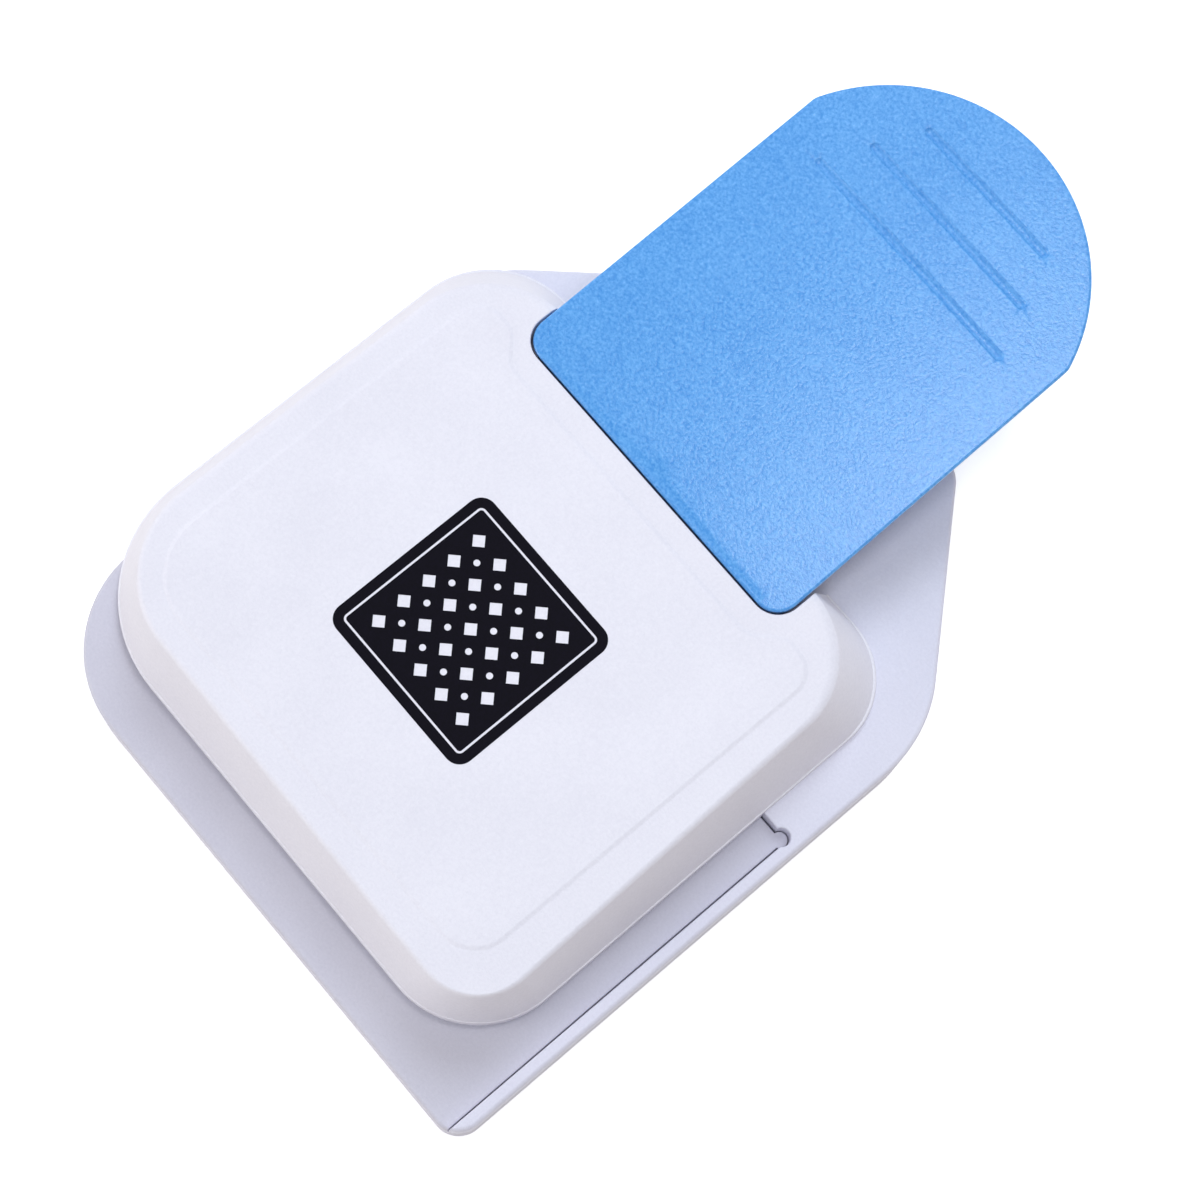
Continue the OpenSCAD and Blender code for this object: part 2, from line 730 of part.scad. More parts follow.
// Yoke: two arms from the pivot past the punch holder, and a web that runs on under the handle
module lever_yoke() {
    arm_end = handle_point(web_wide_l, web_low);
    arm_end_top = handle_point(web_wide_l, web_top);
    bend_low = handle_point(web_reach(yoke_top - sheet_t, web_low), web_low);
    bend_top = handle_point(web_reach(yoke_top, web_top), web_top);
    web_y = drive_y + holder_l / 2 + 2 * clear;
    color([0.70, 0.71, 0.74]) on_body() difference() {
        union() {
            for (side = [-1, 1]) translate([side * (yoke_hw - sheet_t / 2), 0, 0]) across(sheet_t)
                polygon(outline([
                    [pivot_y - hub_r, pivot_z - hub_r, hub_r - 0.1],
                    [pivot_y + hub_r * 2, pivot_z - hub_r, 1],
                    [stop_y, clear_z(stop_y, cover_z) + 0.1, 1],
                    [arm_end[0], arm_end[1], 0.3],
                    [arm_end_top[0], arm_end_top[1], 0.3],
                    [bend_top[0], bend_top[1], 1],
                    [pivot_y - hub_r, pivot_z + hub_r, hub_r - 0.1]
                ]));
            across(2 * yoke_hw) polygon([
                [web_y, yoke_top - sheet_t],
                bend_low,
                arm_end,
                arm_end_top,
                bend_top,
                [web_y, yoke_top]
            ]);
            across(2 * tongue_hw) polygon([
                handle_point(web_wide_l - over, web_low),
                handle_point(web_l, web_low),
                handle_point(web_l, web_top),
                handle_point(web_wide_l - over, web_top)
            ]);
        }
        translate([-yoke_hw - over, pivot_y, pivot_z]) rotate([0, 90, 0])
            cylinder(h = 2 * (yoke_hw + over), r = pivot_r + run_fit);
        for (shift = [-0.25, 0.25]) translate([-yoke_hw - over, drive_y + shift, drive_z]) rotate([0, 90, 0])
            cylinder(h = 2 * (yoke_hw + over), r = drive_r + run_fit);
        translate([-yoke_hw - over, drive_y - 0.25, drive_z - drive_r - run_fit])
            cube([2 * (yoke_hw + over), 0.5, 2 * (drive_r + run_fit)]);
        translate([-cover_x, 0, 0]) on_handle() for (p = handle_places) translate([p[0], p[1], web_low - over])
            cylinder(h = sheet_t + 2 * over, r = lever_screw_r + seat_fit);
    }
}

// Handle: a shallow tray turned over, with a lower lip at its front and bosses for its screws
module lever_handle() {
    color([0.42, 0.69, 0.96]) on_handle() difference() {
        union() {
            difference() {
                translate([0, 0, -rim_h]) linear_extrude(rim_h) polygon(handle_outline(0));
                translate([0, 0, -rim_h - over]) linear_extrude(rim_h - handle_t + over)
                    polygon(handle_outline(rim_t));
                block(yoke_hw + 0.5, -over, rim_t + over, -rim_h - over, web_top + 0.6);
            }
            for (p = handle_places) translate([p[0], p[1], web_top])
                cylinder(h = boss_h + handle_t / 2, r = 3.4);
        }
        for (p = handle_places) translate([p[0], p[1], web_top - over])
            cylinder(h = boss_h + over + handle_t / 2, r = lever_screw_r + fixed_fit);
        for (i = [0:groove_n - 1]) translate([0, handle_l - groove_tip - i * groove_pitch, -groove_d]) {
            half = (groove_l + i * groove_step - groove_w) / 2;
            block(half, -groove_w / 2, groove_w / 2, 0, over);
            for (side = [-1, 1]) translate([side * half, 0, 0]) cylinder(h = over, r = groove_w / 2);
        }
    }
}

module handle_screws() {
    cap_h = 1.3;
    color([0.62, 0.63, 0.66]) on_handle() for (p = handle_places) translate([p[0], p[1], web_low]) {
        translate([0, 0, -cap_h]) difference() {
            cylinder(h = cap_h, r = lever_screw_r * 2);
            for (a = [0, 90]) rotate([0, 0, a]) cube([lever_screw_r * 2.4, 0.6, cap_h], center = true);
        }
        cylinder(h = sheet_t + boss_h + handle_t / 2 - 0.3, r = lever_screw_r);
    }
}

// Cover: leaning walls, a softened upper edge, a notch for the lever and a raised top panel
module top_cover() {
    lean = [wall_lean, rear_lean];
    notch_hw = handle_w / 2 + lever_gap;
    notch_r = handle_r + lever_gap;
    color([0.93, 0.93, 0.96]) on_body() difference() {
        union() {
            difference() {
                loft(
                    [
                        outline(cover_corners(0, 0)),
                        outline(cover_corners(0, 0)),
                        outline(cover_corners(lean[0], lean[1])),
                        outline(cover_corners(lean[0] + edge_r, lean[1] + edge_r))
                    ],
                    [cover_z, cover_z + skirt_h, cover_top - edge_r, cover_top]
                );
                loft(
                    [
                        outline(cover_corners(cover_wall, cover_wall)),
                        outline(cover_corners(cover_wall, cover_wall)),
                        outline(cover_corners(lean[0] + cover_wall, lean[1] + cover_wall))
                    ],
                    [cover_z - over, cover_z + skirt_h, inner_top]
                );
            }
            slab(cover_top - over, cover_top + panel_h, outline(panel_corners));
            for (p = case_places) translate([p[0], p[1], cover_z])
                cylinder(h = cover_h - cover_wall / 2, r = column_r - 0.4);
        }
        slab(cover_z - over, cover_top + over, outline([
            [-notch_hw, lever_y - lever_gap, notch_r],
            [notch_hw, lever_y - lever_gap, notch_r],
            [notch_hw, cover_y1 + 3 * over, 0.3],
            [-notch_hw, cover_y1 + 3 * over, 0.3]
        ]));
        block(notch_hw, cover_y1 - rear_lean - cover_wall - over, cover_y1 + over, cover_z - over, inner_top);
        for (p = case_places) translate([p[0], p[1], cover_z - over])
            cylinder(h = cover_h / 2 + 2 * over, r = screw_r + fixed_fit);
    }
}

base_shell();
paper_guide();
bottom_plate();
rubber_feet();
plate_screws();
case_screws();
die_plate();
spacer_plate();
upper_frame();
frame_screws();
guide_posts();
return_springs();
punch_holder();
punch_blades();
drive_pin();
pivot_pin();
pivot_clips();
lever_yoke();
lever_handle();
handle_screws();
top_cover();
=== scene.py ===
"""Looks of a lever border punch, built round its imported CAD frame.

A white moulded tray with a paper bed carries an L-shaped paper guide and a hooded cover. A blue palm
lever swings in the cover's notch and drives a spring-returned punch. The frame gives the places, and
the classes below give the mouldings' soft edges, the print, the fasteners and the finishes. Lengths
in the classes are millimetres, and a mesh is scaled to metres when it joins the frame.
"""

import json
import logging
import math
from dataclasses import dataclass
from enum import Enum
from typing import Any, Callable, Optional, Sequence

import bmesh
import bpy
import numpy as np
from mathutils import Matrix, Vector
from mathutils.geometry import delaunay_2d_cdt


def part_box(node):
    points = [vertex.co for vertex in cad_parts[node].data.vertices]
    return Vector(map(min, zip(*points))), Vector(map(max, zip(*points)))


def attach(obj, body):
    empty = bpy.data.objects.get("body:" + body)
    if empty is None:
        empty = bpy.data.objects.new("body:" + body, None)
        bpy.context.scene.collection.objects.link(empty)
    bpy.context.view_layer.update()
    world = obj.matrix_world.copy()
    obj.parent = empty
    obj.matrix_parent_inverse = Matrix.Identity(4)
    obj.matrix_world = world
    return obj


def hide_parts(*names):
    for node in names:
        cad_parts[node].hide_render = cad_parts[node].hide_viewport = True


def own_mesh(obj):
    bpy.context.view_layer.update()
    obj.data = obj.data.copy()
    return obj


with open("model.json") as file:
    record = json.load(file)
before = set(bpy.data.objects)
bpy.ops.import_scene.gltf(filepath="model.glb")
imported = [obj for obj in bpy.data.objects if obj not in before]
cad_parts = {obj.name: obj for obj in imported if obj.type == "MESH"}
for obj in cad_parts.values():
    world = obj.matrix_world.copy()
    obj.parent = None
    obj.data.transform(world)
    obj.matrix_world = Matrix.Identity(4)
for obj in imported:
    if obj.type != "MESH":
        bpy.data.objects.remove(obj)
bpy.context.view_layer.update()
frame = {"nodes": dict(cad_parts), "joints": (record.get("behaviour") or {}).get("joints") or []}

LOG = logging.getLogger("border_punch")
# Low and high end of a range, and a place in plan
Span = tuple[float, float]
Spot = tuple[float, float]
MM = 0.001
# Smallest corner radius and overshoot of a cutting tool past a face, in millimetres
SHARP = 0.05
OVER = 1.0
# Distance below which points are one, and length below which a side counts as level or as a point
WELD = 1e-5
TINY = 1e-12
# Least distance of a fill's inner points from its outline, as a share of their spacing
EDGE_CLEAR = 0.45
# Angle between faces above which an edge stays crisp
CRISP_ANGLE = math.radians(38)


class Slot(Enum):
    """Slots of the record for the finishes of the scene's own pieces."""

    WHITE = "white_plastic"
    GREY = "grey_plastic"
    BLUE = "blue_plastic"
    RUBBER = "black_rubber"
    SPRING = "spring_steel"
    ZINC = "zinc_screw"


class Body(Enum):
    """Bodies of the frame that pieces ride on."""

    HOUSING = "housing"
    LEVER = "lever"


class Solid(Enum):
    """Ways to combine two solids."""

    CUT = "DIFFERENCE"
    JOIN = "UNION"


class Grain(Enum):
    """Directions of the fine marks that a metal's last process leaves."""

    ALONG_X = (0.04, 1.0, 1.0)
    ALONG_Y = (1.0, 0.04, 1.0)
    EVEN = (1.0, 1.0, 1.0)


def linear(code: str) -> tuple[float, float, float, float]:
    """Turns an sRGB hex colour to linear RGBA.

    Args:
        code: Colour such as "#E6E8F2".

    Returns:
        Red, green, blue and alpha, linear.
    """
    parts = [int(code[i : i + 2], 16) / 255 for i in (1, 3, 5)]
    flat = [c / 12.92 if c <= 0.04045 else ((c + 0.055) / 1.055) ** 2.4 for c in parts]
    return flat[0], flat[1], flat[2], 1.0


def add(tree: Any, kind: str, links: Optional[dict] = None, **settings: Any) -> Any:
    """Adds a node with its settings, input values and links.

    Args:
        tree: Shader or geometry node tree.
        kind: Node type.
        links: Input name or identifier to a value, a socket, or a list of sockets.
        settings: Attributes of the node.

    Returns:
        The new node.
    """
    node = tree.nodes.new(kind)
    for key, value in settings.items():
        setattr(node, key, value)
    for key, value in (links or {}).items():
        socket = next((s for s in node.inputs if s.identifier == key), None) or node.inputs[key]
        if isinstance(value, bpy.types.NodeSocket):
            tree.links.new(value, socket)
        elif isinstance(value, list):
            for source in value:
                tree.links.new(source, socket)
        else:
            socket.default_value = value
    return node


def per_mm(size: float) -> float:
    """Noise scale that draws marks of the given size in millimetres."""
    return 1 / (size * MM)


def blank_material(name: str) -> tuple[Any, Any, Any]:
    """Starts a material with its shader, output and object coordinates.

    Args:
        name: Name of the material.

    Returns:
        The material, its Principled shader and its Object coordinate socket.
    """
    material = bpy.data.materials.new(name)
    material.use_nodes = True
    tree = material.node_tree
    tree.nodes.clear()
    shader = add(tree, "ShaderNodeBsdfPrincipled")
    add(tree, "ShaderNodeOutputMaterial", {"Surface": shader.outputs[0]})
    coords = add(tree, "ShaderNodeTexCoord")
    return material, shader, coords.outputs["Object"]


def lay_grain(material: Any, shader: Any, tones: tuple[str, str], grain: Any, spread: Span, gloss: Span,
              gloss_spread: Span, relief: Any, depth_mm: float, strength: float) -> None:
    """Spreads a finish's tones and gloss over its grain, and gives the surface its relief.

    Args:
        material: Material that is being made.
        shader: Its Principled shader.
        tones: Colours at the grain's low and high end.
        grain: Socket of the grain.
        spread: Range of the grain that takes in both tones.
        gloss: Roughness at the grain's low and high end.
        gloss_spread: Range of the grain that takes in the gloss.
        relief: Socket of the height.
        depth_mm: Depth of the relief to each side, in millimetres.
        strength: Share of the relief that shows.
    """
    tree = material.node_tree
    tone = add(tree, "ShaderNodeMapRange", {
        "Value": grain, "From Min": spread[0], "From Max": spread[1]})
    colour = add(tree, "ShaderNodeMix", {
        "Factor_Float": tone.outputs[0], "A_Color": linear(tones[0]), "B_Color": linear(tones[1])},
        data_type="RGBA")
    rough = add(tree, "ShaderNodeMapRange", {
        "Value": grain, "From Min": gloss_spread[0], "From Max": gloss_spread[1],
        "To Min": gloss[0], "To Max": gloss[1]})
    bump = add(tree, "ShaderNodeBump", {
        "Height": relief, "Strength": strength, "Distance": depth_mm * MM * 2})
    tree.links.new(colour.outputs[2], shader.inputs["Base Color"])
    tree.links.new(rough.outputs[0], shader.inputs["Roughness"])
    tree.links.new(bump.outputs[0], shader.inputs["Normal"])


@dataclass(frozen=True)
class MouldedPlastic:
    """ABS moulded against a spark-eroded tool: an even pitted grain that scatters the highlights."""

    name: str
    colour: str
    shade: str
    # Real spark pits are about 0.1 mm wide; they are drawn coarser, so that they show in the render
    pit_mm: float = 0.5
    pit_depth_mm: float = 0.03
    # Slow drift of tone and gloss from the melt's flow
    flow_mm: float = 16.0
    # Share of the pits in the tone; the rest is the flow's
    pit_share: float = 0.6
    gloss: Span = (0.46, 0.58)
    ior: float = 1.53
    specular: float = 0.5

    def material(self) -> Any:
        """Builds the material.

        Returns:
            The material.
        """
        material, shader, coords = blank_material(self.name)
        tree = material.node_tree
        flow = add(tree, "ShaderNodeTexNoise", {
            "Vector": coords, "Scale": per_mm(self.flow_mm), "Detail": 2.0, "Roughness": 0.5})
        pits = add(tree, "ShaderNodeTexNoise", {
            "Vector": coords, "Scale": per_mm(self.pit_mm), "Detail": 3.0, "Roughness": 0.62})
        speckle = add(tree, "ShaderNodeMix", {
            "Factor_Float": self.pit_share, "A_Float": flow.outputs[0], "B_Float": pits.outputs[0]},
            data_type="FLOAT")
        lay_grain(material, shader, (self.shade, self.colour), speckle.outputs[0], spread=(0.36, 0.64),
                  gloss=self.gloss, gloss_spread=(0.3, 0.7), relief=pits.outputs[0],
                  depth_mm=self.pit_depth_mm, strength=1.0)
        shader.inputs["IOR"].default_value = self.ior
        shader.inputs["Specular IOR Level"].default_value = self.specular
        return material


@dataclass(frozen=True)
class Metal:
    """Steel with the marks of its last process: rolling, grinding, drawing or plating."""

    name: str
    colour: str
    shade: str
    grain: Grain
    # Width of a grinding or rolling mark, drawn coarser than the real few hundredths
    mark_mm: float = 0.25
    mark_depth_mm: float = 0.004
    # Cloudiness of the plating or of the oil film
    film_mm: float = 6.0
    # Roughness at the marks' high and low end
    gloss: Span = (0.24, 0.4)

    def material(self) -> Any:
        """Builds the material.

        Returns:
            The material.
        """
        material, shader, coords = blank_material(self.name)
        tree = material.node_tree
        turned = add(tree, "ShaderNodeMapping", {"Vector": coords, "Scale": self.grain.value})
        marks = add(tree, "ShaderNodeTexNoise", {
            "Vector": turned.outputs[0], "Scale": per_mm(self.mark_mm), "Detail": 4.0, "Roughness": 0.6})
        film = add(tree, "ShaderNodeTexNoise", {
            "Vector": coords, "Scale": per_mm(self.film_mm), "Detail": 3.0, "Roughness": 0.55})
        cloudy = add(tree, "ShaderNodeMix", {
            "Factor_Float": 0.5, "A_Float": marks.outputs[0], "B_Float": film.outputs[0]},
            data_type="FLOAT")
        lay_grain(material, shader, (self.shade, self.colour), cloudy.outputs[0], spread=(0.32, 0.68),
                  gloss=self.gloss[::-1], gloss_spread=(0.32, 0.68), relief=marks.outputs[0],
                  depth_mm=self.mark_depth_mm, strength=0.4)
        shader.inputs["Metallic"].default_value = 1.0
        return material


@dataclass(frozen=True)
class MattFilm:
    """Matt surfaces with a fine tooth: moulded rubber, screen-printed ink and the painted floor."""

    name: str
    colour: str
    shade: str
    tooth_mm: float
    tooth_depth_mm: float
    gloss: Span
    ior: float = 1.5
    specular: float = 0.5

    def material(self) -> Any:
        """Builds the material.

        Returns:
            The material.
        """
        material, shader, coords = blank_material(self.name)
        tree = material.node_tree
        tooth = add(tree, "ShaderNodeTexNoise", {
            "Vector": coords, "Scale": per_mm(self.tooth_mm), "Detail": 3.0, "Roughness": 0.6})
        lay_grain(material, shader, (self.shade, self.colour), tooth.outputs[0], spread=(0.35, 0.65),
                  gloss=self.gloss, gloss_spread=(0.35, 0.65), relief=tooth.outputs[0],
                  depth_mm=self.tooth_depth_mm, strength=0.4)
        shader.inputs["IOR"].default_value = self.ior
        shader.inputs["Specular IOR Level"].default_value = self.specular
        return material


# Spark-eroded white ABS: cool white with a faint lilac cast, silky rather than glossy
WHITE_ABS = MouldedPlastic("white_abs_spark_eroded", "#EEECF3", "#E6E4EC")
# The same white on the tray, made darker and greyer as painted shade for the bed under the cover's overhang
TRAY_ABS = MouldedPlastic("tray_abs_spark_eroded", "#D2D0DB", "#CAC8D4")
# The same white on the guide, darkened less, as painted shade for the fence beside the cover
GUIDE_ABS = MouldedPlastic("guide_abs_spark_eroded", "#E4E3EF", "#DCDBE8")
# Spark-eroded sky blue ABS: clear blue with a soft white sheen
BLUE_ABS = MouldedPlastic(
    "blue_abs_spark_eroded", "#6AB1F0", "#4291DC", pit_share=0.88, gloss=(0.2, 0.28), specular=0.75)
# Moulded grey closing plate, coarser and duller because nobody sees it in use
GREY_ABS = MouldedPlastic("grey_abs_moulded", "#CFCFD8", "#C4C4CE", pit_mm=0.6, gloss=(0.45, 0.6))
# Moulded rubber: black, matt, slightly dusty
BLACK_RUBBER = MattFilm(
    "black_rubber_moulded", "#232325", "#19191B", tooth_mm=0.5, tooth_depth_mm=0.02, gloss=(0.68, 0.85),
    ior=1.52)
# Screen-printed ink: a thin, dense blue-black film that dries matt with a few pinholes
BLACK_INK = MattFilm(
    "black_ink_screen_printed", "#14121C", "#0D0C14", tooth_mm=0.35, tooth_depth_mm=0.003, gloss=(0.6, 0.75),
    specular=0.12)
# Zinc-plated rolled sheet: pale, with faint rolling lines along its length
SHEET_STEEL = Metal("zinc_plated_rolled_steel", "#C9CBD0", "#B2B4BA", Grain.ALONG_Y)
# Surface-ground tool steel: bright, with fine parallel grinding lines
GROUND_STEEL = Metal("ground_tool_steel", "#CDCED2", "#AEB0B5", Grain.ALONG_X, gloss=(0.18, 0.32))
# Drawn spring wire: darker and smooth
SPRING_STEEL = Metal("drawn_spring_wire", "#A9ABB0", "#8E9096", Grain.EVEN, gloss=(0.22, 0.36))
# Bright zinc on the screws: a cool, slightly cloudy plating
ZINC = Metal("bright_zinc_plate", "#C4C8CF", "#A6ABB4", Grain.EVEN, gloss=(0.2, 0.36))
# Matt painted studio floor
FLOOR_PAINT = MattFilm(
    "matt_white_floor_paint", "#F7F7F9", "#F5F5F7", tooth_mm=9.0, tooth_depth_mm=0.01, gloss=(0.8, 0.9),
    ior=1.4)


@dataclass(frozen=True)
class NodeBox:
    """Box of a CAD node at rest, in millimetres."""

    lo: Vector
    hi: Vector

    @classmethod
    def of(cls, node: str) -> "NodeBox":
        """Reads the box of a node from the frame."""
        lo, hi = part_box(node)
        return cls(lo / MM, hi / MM)

    @property
    def mid(self) -> Vector:
        """Middle of the box."""
        return (self.lo + self.hi) / 2


@dataclass(frozen=True)
class Corner:
    """Corner of an outline: its place before rounding, and its radius."""

    x: float
    y: float
    r: float


class Outline:
    """Closed counter-clockwise outline of straight sides and rounded corners.

    Every ring taken from one outline has the same number of points, so rings can be skinned together.
    """

    def __init__(self, corners: Sequence[Corner], steps: int = 12, pitch: float = 0.0) -> None:
        """Keeps the corners and counts the pieces of each straight side.

        Args:
            corners: Corners in counter-clockwise order.
            steps: Pieces of each rounded corner.
            pitch: Length of the pieces of a straight side; 0 leaves the sides whole.
        """
        self.corners = list(corners)
        self.steps = steps
        self.pieces = [1] * len(self.corners)
        if pitch > 0:
            arcs = [self.arc(i, 0) for i in range(len(self.corners))]
            ends = zip(arcs, arcs[1:] + arcs[:1])
            self.pieces = [max(1, round((b[0] - a[-1]).length / pitch)) for a, b in ends]

    def place(self, i: int) -> Vector:
        """Place of corner i before rounding."""
        corner = self.corners[i % len(self.corners)]
        return Vector((corner.x, corner.y))

    def arc(self, i: int, drawn_in: float) -> list[Vector]:
        """Points of the arc that rounds a corner.

        Args:
            i: Number of the corner.
            drawn_in: Distance that the outline is drawn inwards.

        Returns:
            Points along the arc.
        """
        q = self.place(i)
        u = (self.place(i - 1) - q).normalized()
        v = (self.place(i + 1) - q).normalized()
        cross = v.x * u.y - v.y * u.x
        side = math.copysign(1, cross)
        r = max(self.corners[i].r - drawn_in * side, SHARP)
        q = q + (u + v) * (drawn_in * side / abs(cross))
        half = math.acos(u.dot(v)) / 2
        centre = q + (u + v).normalized() * (r / math.sin(half))
        start = q + u * (r / math.tan(half)) - centre
        end = q + v * (r / math.tan(half)) - centre
        first = math.atan2(start.y, start.x)
        turn = (math.atan2(end.y, end.x) - first + 3 * math.pi) % (2 * math.pi) - math.pi
        return arc_points(centre, r, first, first + turn, self.steps)

    def run(self, first: int, last: int, drawn_in: float) -> list[Vector]:
        """Points from the arc of one corner to the arc of a later one.

        Args:
            first: Number of the first corner.
            last: Number of the last corner.
            drawn_in: Distance that the outline is drawn inwards.

        Returns:
            Points of the arcs and of the sides between them.
        """
        points: list[Vector] = []
        for i in range(first, last + 1):
            arc = self.arc(i, drawn_in)
            if points:
                n = self.pieces[i - 1]
                points += [points[-1].lerp(arc[0], k / n) for k in range(1, n)]
            points += arc
        return points

    def ring(self, drawn_in: float = 0.0) -> list[Vector]:
        """Takes all points of the outline.

        Args:
            drawn_in: Distance that the outline is drawn inwards.

        Returns:
            Points in counter-clockwise order.
        """
        points = self.run(0, len(self.corners) - 1, drawn_in)
        n = self.pieces[-1]
        return points + [points[-1].lerp(points[0], k / n) for k in range(1, n)]


def arc_points(centre: Vector, r: float, first: float, last: float, steps: int) -> list[Vector]:
    """Points along an arc.

    Args:
        centre: Middle of the circle.
        r: Radius.
        first: Angle of the first point, in radians.
        last: Angle of the last point.
        steps: Number of pieces.

    Returns:
        Points along the arc, both ends included.
    """
    angles = [first + (last - first) * k / steps for k in range(steps + 1)]
    return [Vector((centre.x + r * math.cos(a), centre.y + r * math.sin(a))) for a in angles]


def circle(x: float, y: float, r: float, steps: int = 40) -> list[Vector]:
    """Points of a full circle."""
    return arc_points(Vector((x, y)), r, 0, 2 * math.pi, steps)[:-1]


def rectangle(x0: float, y0: float, x1: float, y1: float) -> list[Vector]:
    """Corners of a rectangle, counter-clockwise."""
    return [Vector((x0, y0)), Vector((x1, y0)), Vector((x1, y1)), Vector((x0, y1))]


def clip(points: Sequence[Vector], axis: int, limit: float, above: bool) -> list[Vector]:
    """Cuts a convex outline along a line.

    Args:
        points: Outline.
        axis: 0 for a limit in X, 1 for a limit in Y.
        limit: Place of the line.
        above: Keeps the points above the limit if true, below it if false.

    Returns:
        The part of the outline that is kept.
    """
    kept: list[Vector] = []
    sign = 1 if above else -1
    for a, b in zip(points, list(points[1:]) + [points[0]]):
        da = (a[axis] - limit) * sign
        db = (b[axis] - limit) * sign
        if da >= 0:
            kept.append(a)
        if da * db < 0:
            kept.append(a.lerp(b, da / (da - db)))
    return kept


def inside(points: np.ndarray, loops: Sequence[np.ndarray]) -> np.ndarray:
    """Tells which points lie inside loops, counted even and odd.

    Args:
        points: Points, one a row.
        loops: Outlines, holes among them.

    Returns:
        True for each point inside.
    """
    odd = np.zeros(len(points), bool)
    x, y = points[:, :1], points[:, 1:2]
    for loop in loops:
        after = np.roll(loop, -1, axis=0)
        spans = (loop[:, 1] > y) != (after[:, 1] > y)
        rise = np.where(after[:, 1] == loop[:, 1], TINY, after[:, 1] - loop[:, 1])
        cross = loop[:, 0] + (y - loop[:, 1]) * (after[:, 0] - loop[:, 0]) / rise
        odd ^= (np.sum(spans & (x < cross), axis=1) % 2).astype(bool)
    return odd


def grid_within(loops: Sequence[np.ndarray], pitch: float, margin: float) -> list[Vector]:
    """Grid points inside loops, clear of their edges.

    Args:
        loops: Outlines, holes among them.
        pitch: Spacing of the grid.
        margin: Least distance from an outline's points.

    Returns:
        The grid points.
    """
    low, high = loops[0].min(0), loops[0].max(0)
    xs = np.arange(low[0] + pitch / 2, high[0], pitch)
    ys = np.arange(low[1] + pitch / 2, high[1], pitch)
    points = np.stack(np.meshgrid(xs, ys), -1).reshape(-1, 2)
    points = points[inside(points, loops)]
    clear = np.ones(len(points), bool)
    for loop in loops:
        after = np.roll(loop, -1, axis=0)
        along = after - loop
        length = np.maximum((along**2).sum(1), TINY)
        for k, p in enumerate(points):
            t = np.clip(((p - loop) * along).sum(1) / length, 0, 1)
            gap = np.sqrt((((loop + along * t[:, None]) - p) ** 2).sum(1)).min()
            clear[k] &= gap > margin
    return [Vector(p) for p in points[clear]]


class Shell:
    """Mesh in the making: rings of points, skins between them and flat fills."""

    def __init__(self) -> None:
        """Starts an empty mesh."""
        self.mesh = bmesh.new()

    def ring(self, points: Sequence[Vector], z: float) -> list[Any]:
        """Adds the points of a ring at one height and returns its vertices."""
        return [self.mesh.verts.new((p.x, p.y, z)) for p in points]

    def skin(self, low: Sequence[Any], high: Sequence[Any]) -> None:
        """Joins two rings with a band of faces.

        Args:
            low: Vertices of the lower ring.
            high: Vertices of the upper ring.
        """
        n = len(low)
        for i in range(n):
            j = (i + 1) % n
            self.mesh.faces.new((low[i], low[j], high[j], high[i]))

    def stack(self, rings: Sequence[Sequence[Any]]) -> None:
        """Skins each ring to the next."""
        for low, high in zip(rings, rings[1:]):
            self.skin(low, high)

    def fill(self, *loops: Sequence[Any], pitch: float = 0.0) -> None:
        """Fills the flat region between loops of vertices.

        Args:
            loops: The outer loop first, then the holes.
            pitch: Spacing of points inside the region; 0 adds none.
        """
        flat = [np.array([v.co.xy for v in loop]) for loop in loops]
        rim = [v for loop in loops for v in loop]
        spare = grid_within(flat, pitch, pitch * EDGE_CLEAR) if pitch > 0 else []
        places = [v.co.xy for v in rim] + spare
        edges: list[tuple[int, int]] = []
        for loop in loops:
            start = len(edges)
            n = len(loop)
            edges += [(start + k, start + (k + 1) % n) for k in range(n)]
        found, _, faces, sources, _, _ = delaunay_2d_cdt(places, edges, [], 0, WELD)
        verts: list[Any] = []
        for place, source in zip(found, sources):
            if source and source[0] < len(rim):
                verts.append(rim[source[0]])
            else:
                verts.append(self.mesh.verts.new((place.x, place.y, rim[0].co.z)))
        middles = np.array([np.mean([found[k] for k in face], axis=0) for face in faces])
        for face, keep in zip(faces, inside(middles, flat)):
            if keep:
                self.mesh.faces.new([verts[k] for k in face])

    def bend(self, shift: Callable[[Vector], Vector]) -> None:
        """Moves every point to the place that the function gives."""
        for vert in self.mesh.verts:
            vert.co = shift(vert.co)

    def solid(self, name: str) -> Any:
        """Closes the work, with its faces outward.

        Args:
            name: Name of the object.

        Returns:
            The new object of the scene.
        """
        bmesh.ops.recalc_face_normals(self.mesh, faces=self.mesh.faces)
        mesh = bpy.data.meshes.new(name)
        self.mesh.to_mesh(mesh)
        self.mesh.free()
        piece = bpy.data.objects.new(name, mesh)
        bpy.context.scene.collection.objects.link(piece)
        return piece


def loft(levels: Sequence[tuple[Sequence[Vector], float]], name: str = "tool", pitch: float = 0.0,
         bend: Optional[Callable[[Vector], Vector]] = None) -> Any:
    """Closed solid through outlines with equal numbers of points.

    Args:
        levels: Outline and height of each level, from the bottom up.
        name: Name of the solid.
        pitch: Spacing of points inside the top; 0 adds none.
        bend: Function that gives each point its last place.

    Returns:
        The solid as an object.
    """
    shell = Shell()
    rings = [shell.ring(points, z) for points, z in levels]
    shell.stack(rings)
    shell.fill(rings[0])
    shell.fill(rings[-1], pitch=pitch)
    if bend:
        shell.bend(bend)
    return shell.solid(name)


def prism(points: Sequence[Vector], z0: float, z1: float) -> Any:
    """Upright solid with the given outline between two heights."""
    return loft([(points, z0), (points, z1)])


def pillars(places: Sequence[Spot], r: float, z0: float, z1: float) -> list[Any]:
    """Round columns of one size at several places."""
    return [prism(circle(x, y, r), z0, z1) for x, y in places]


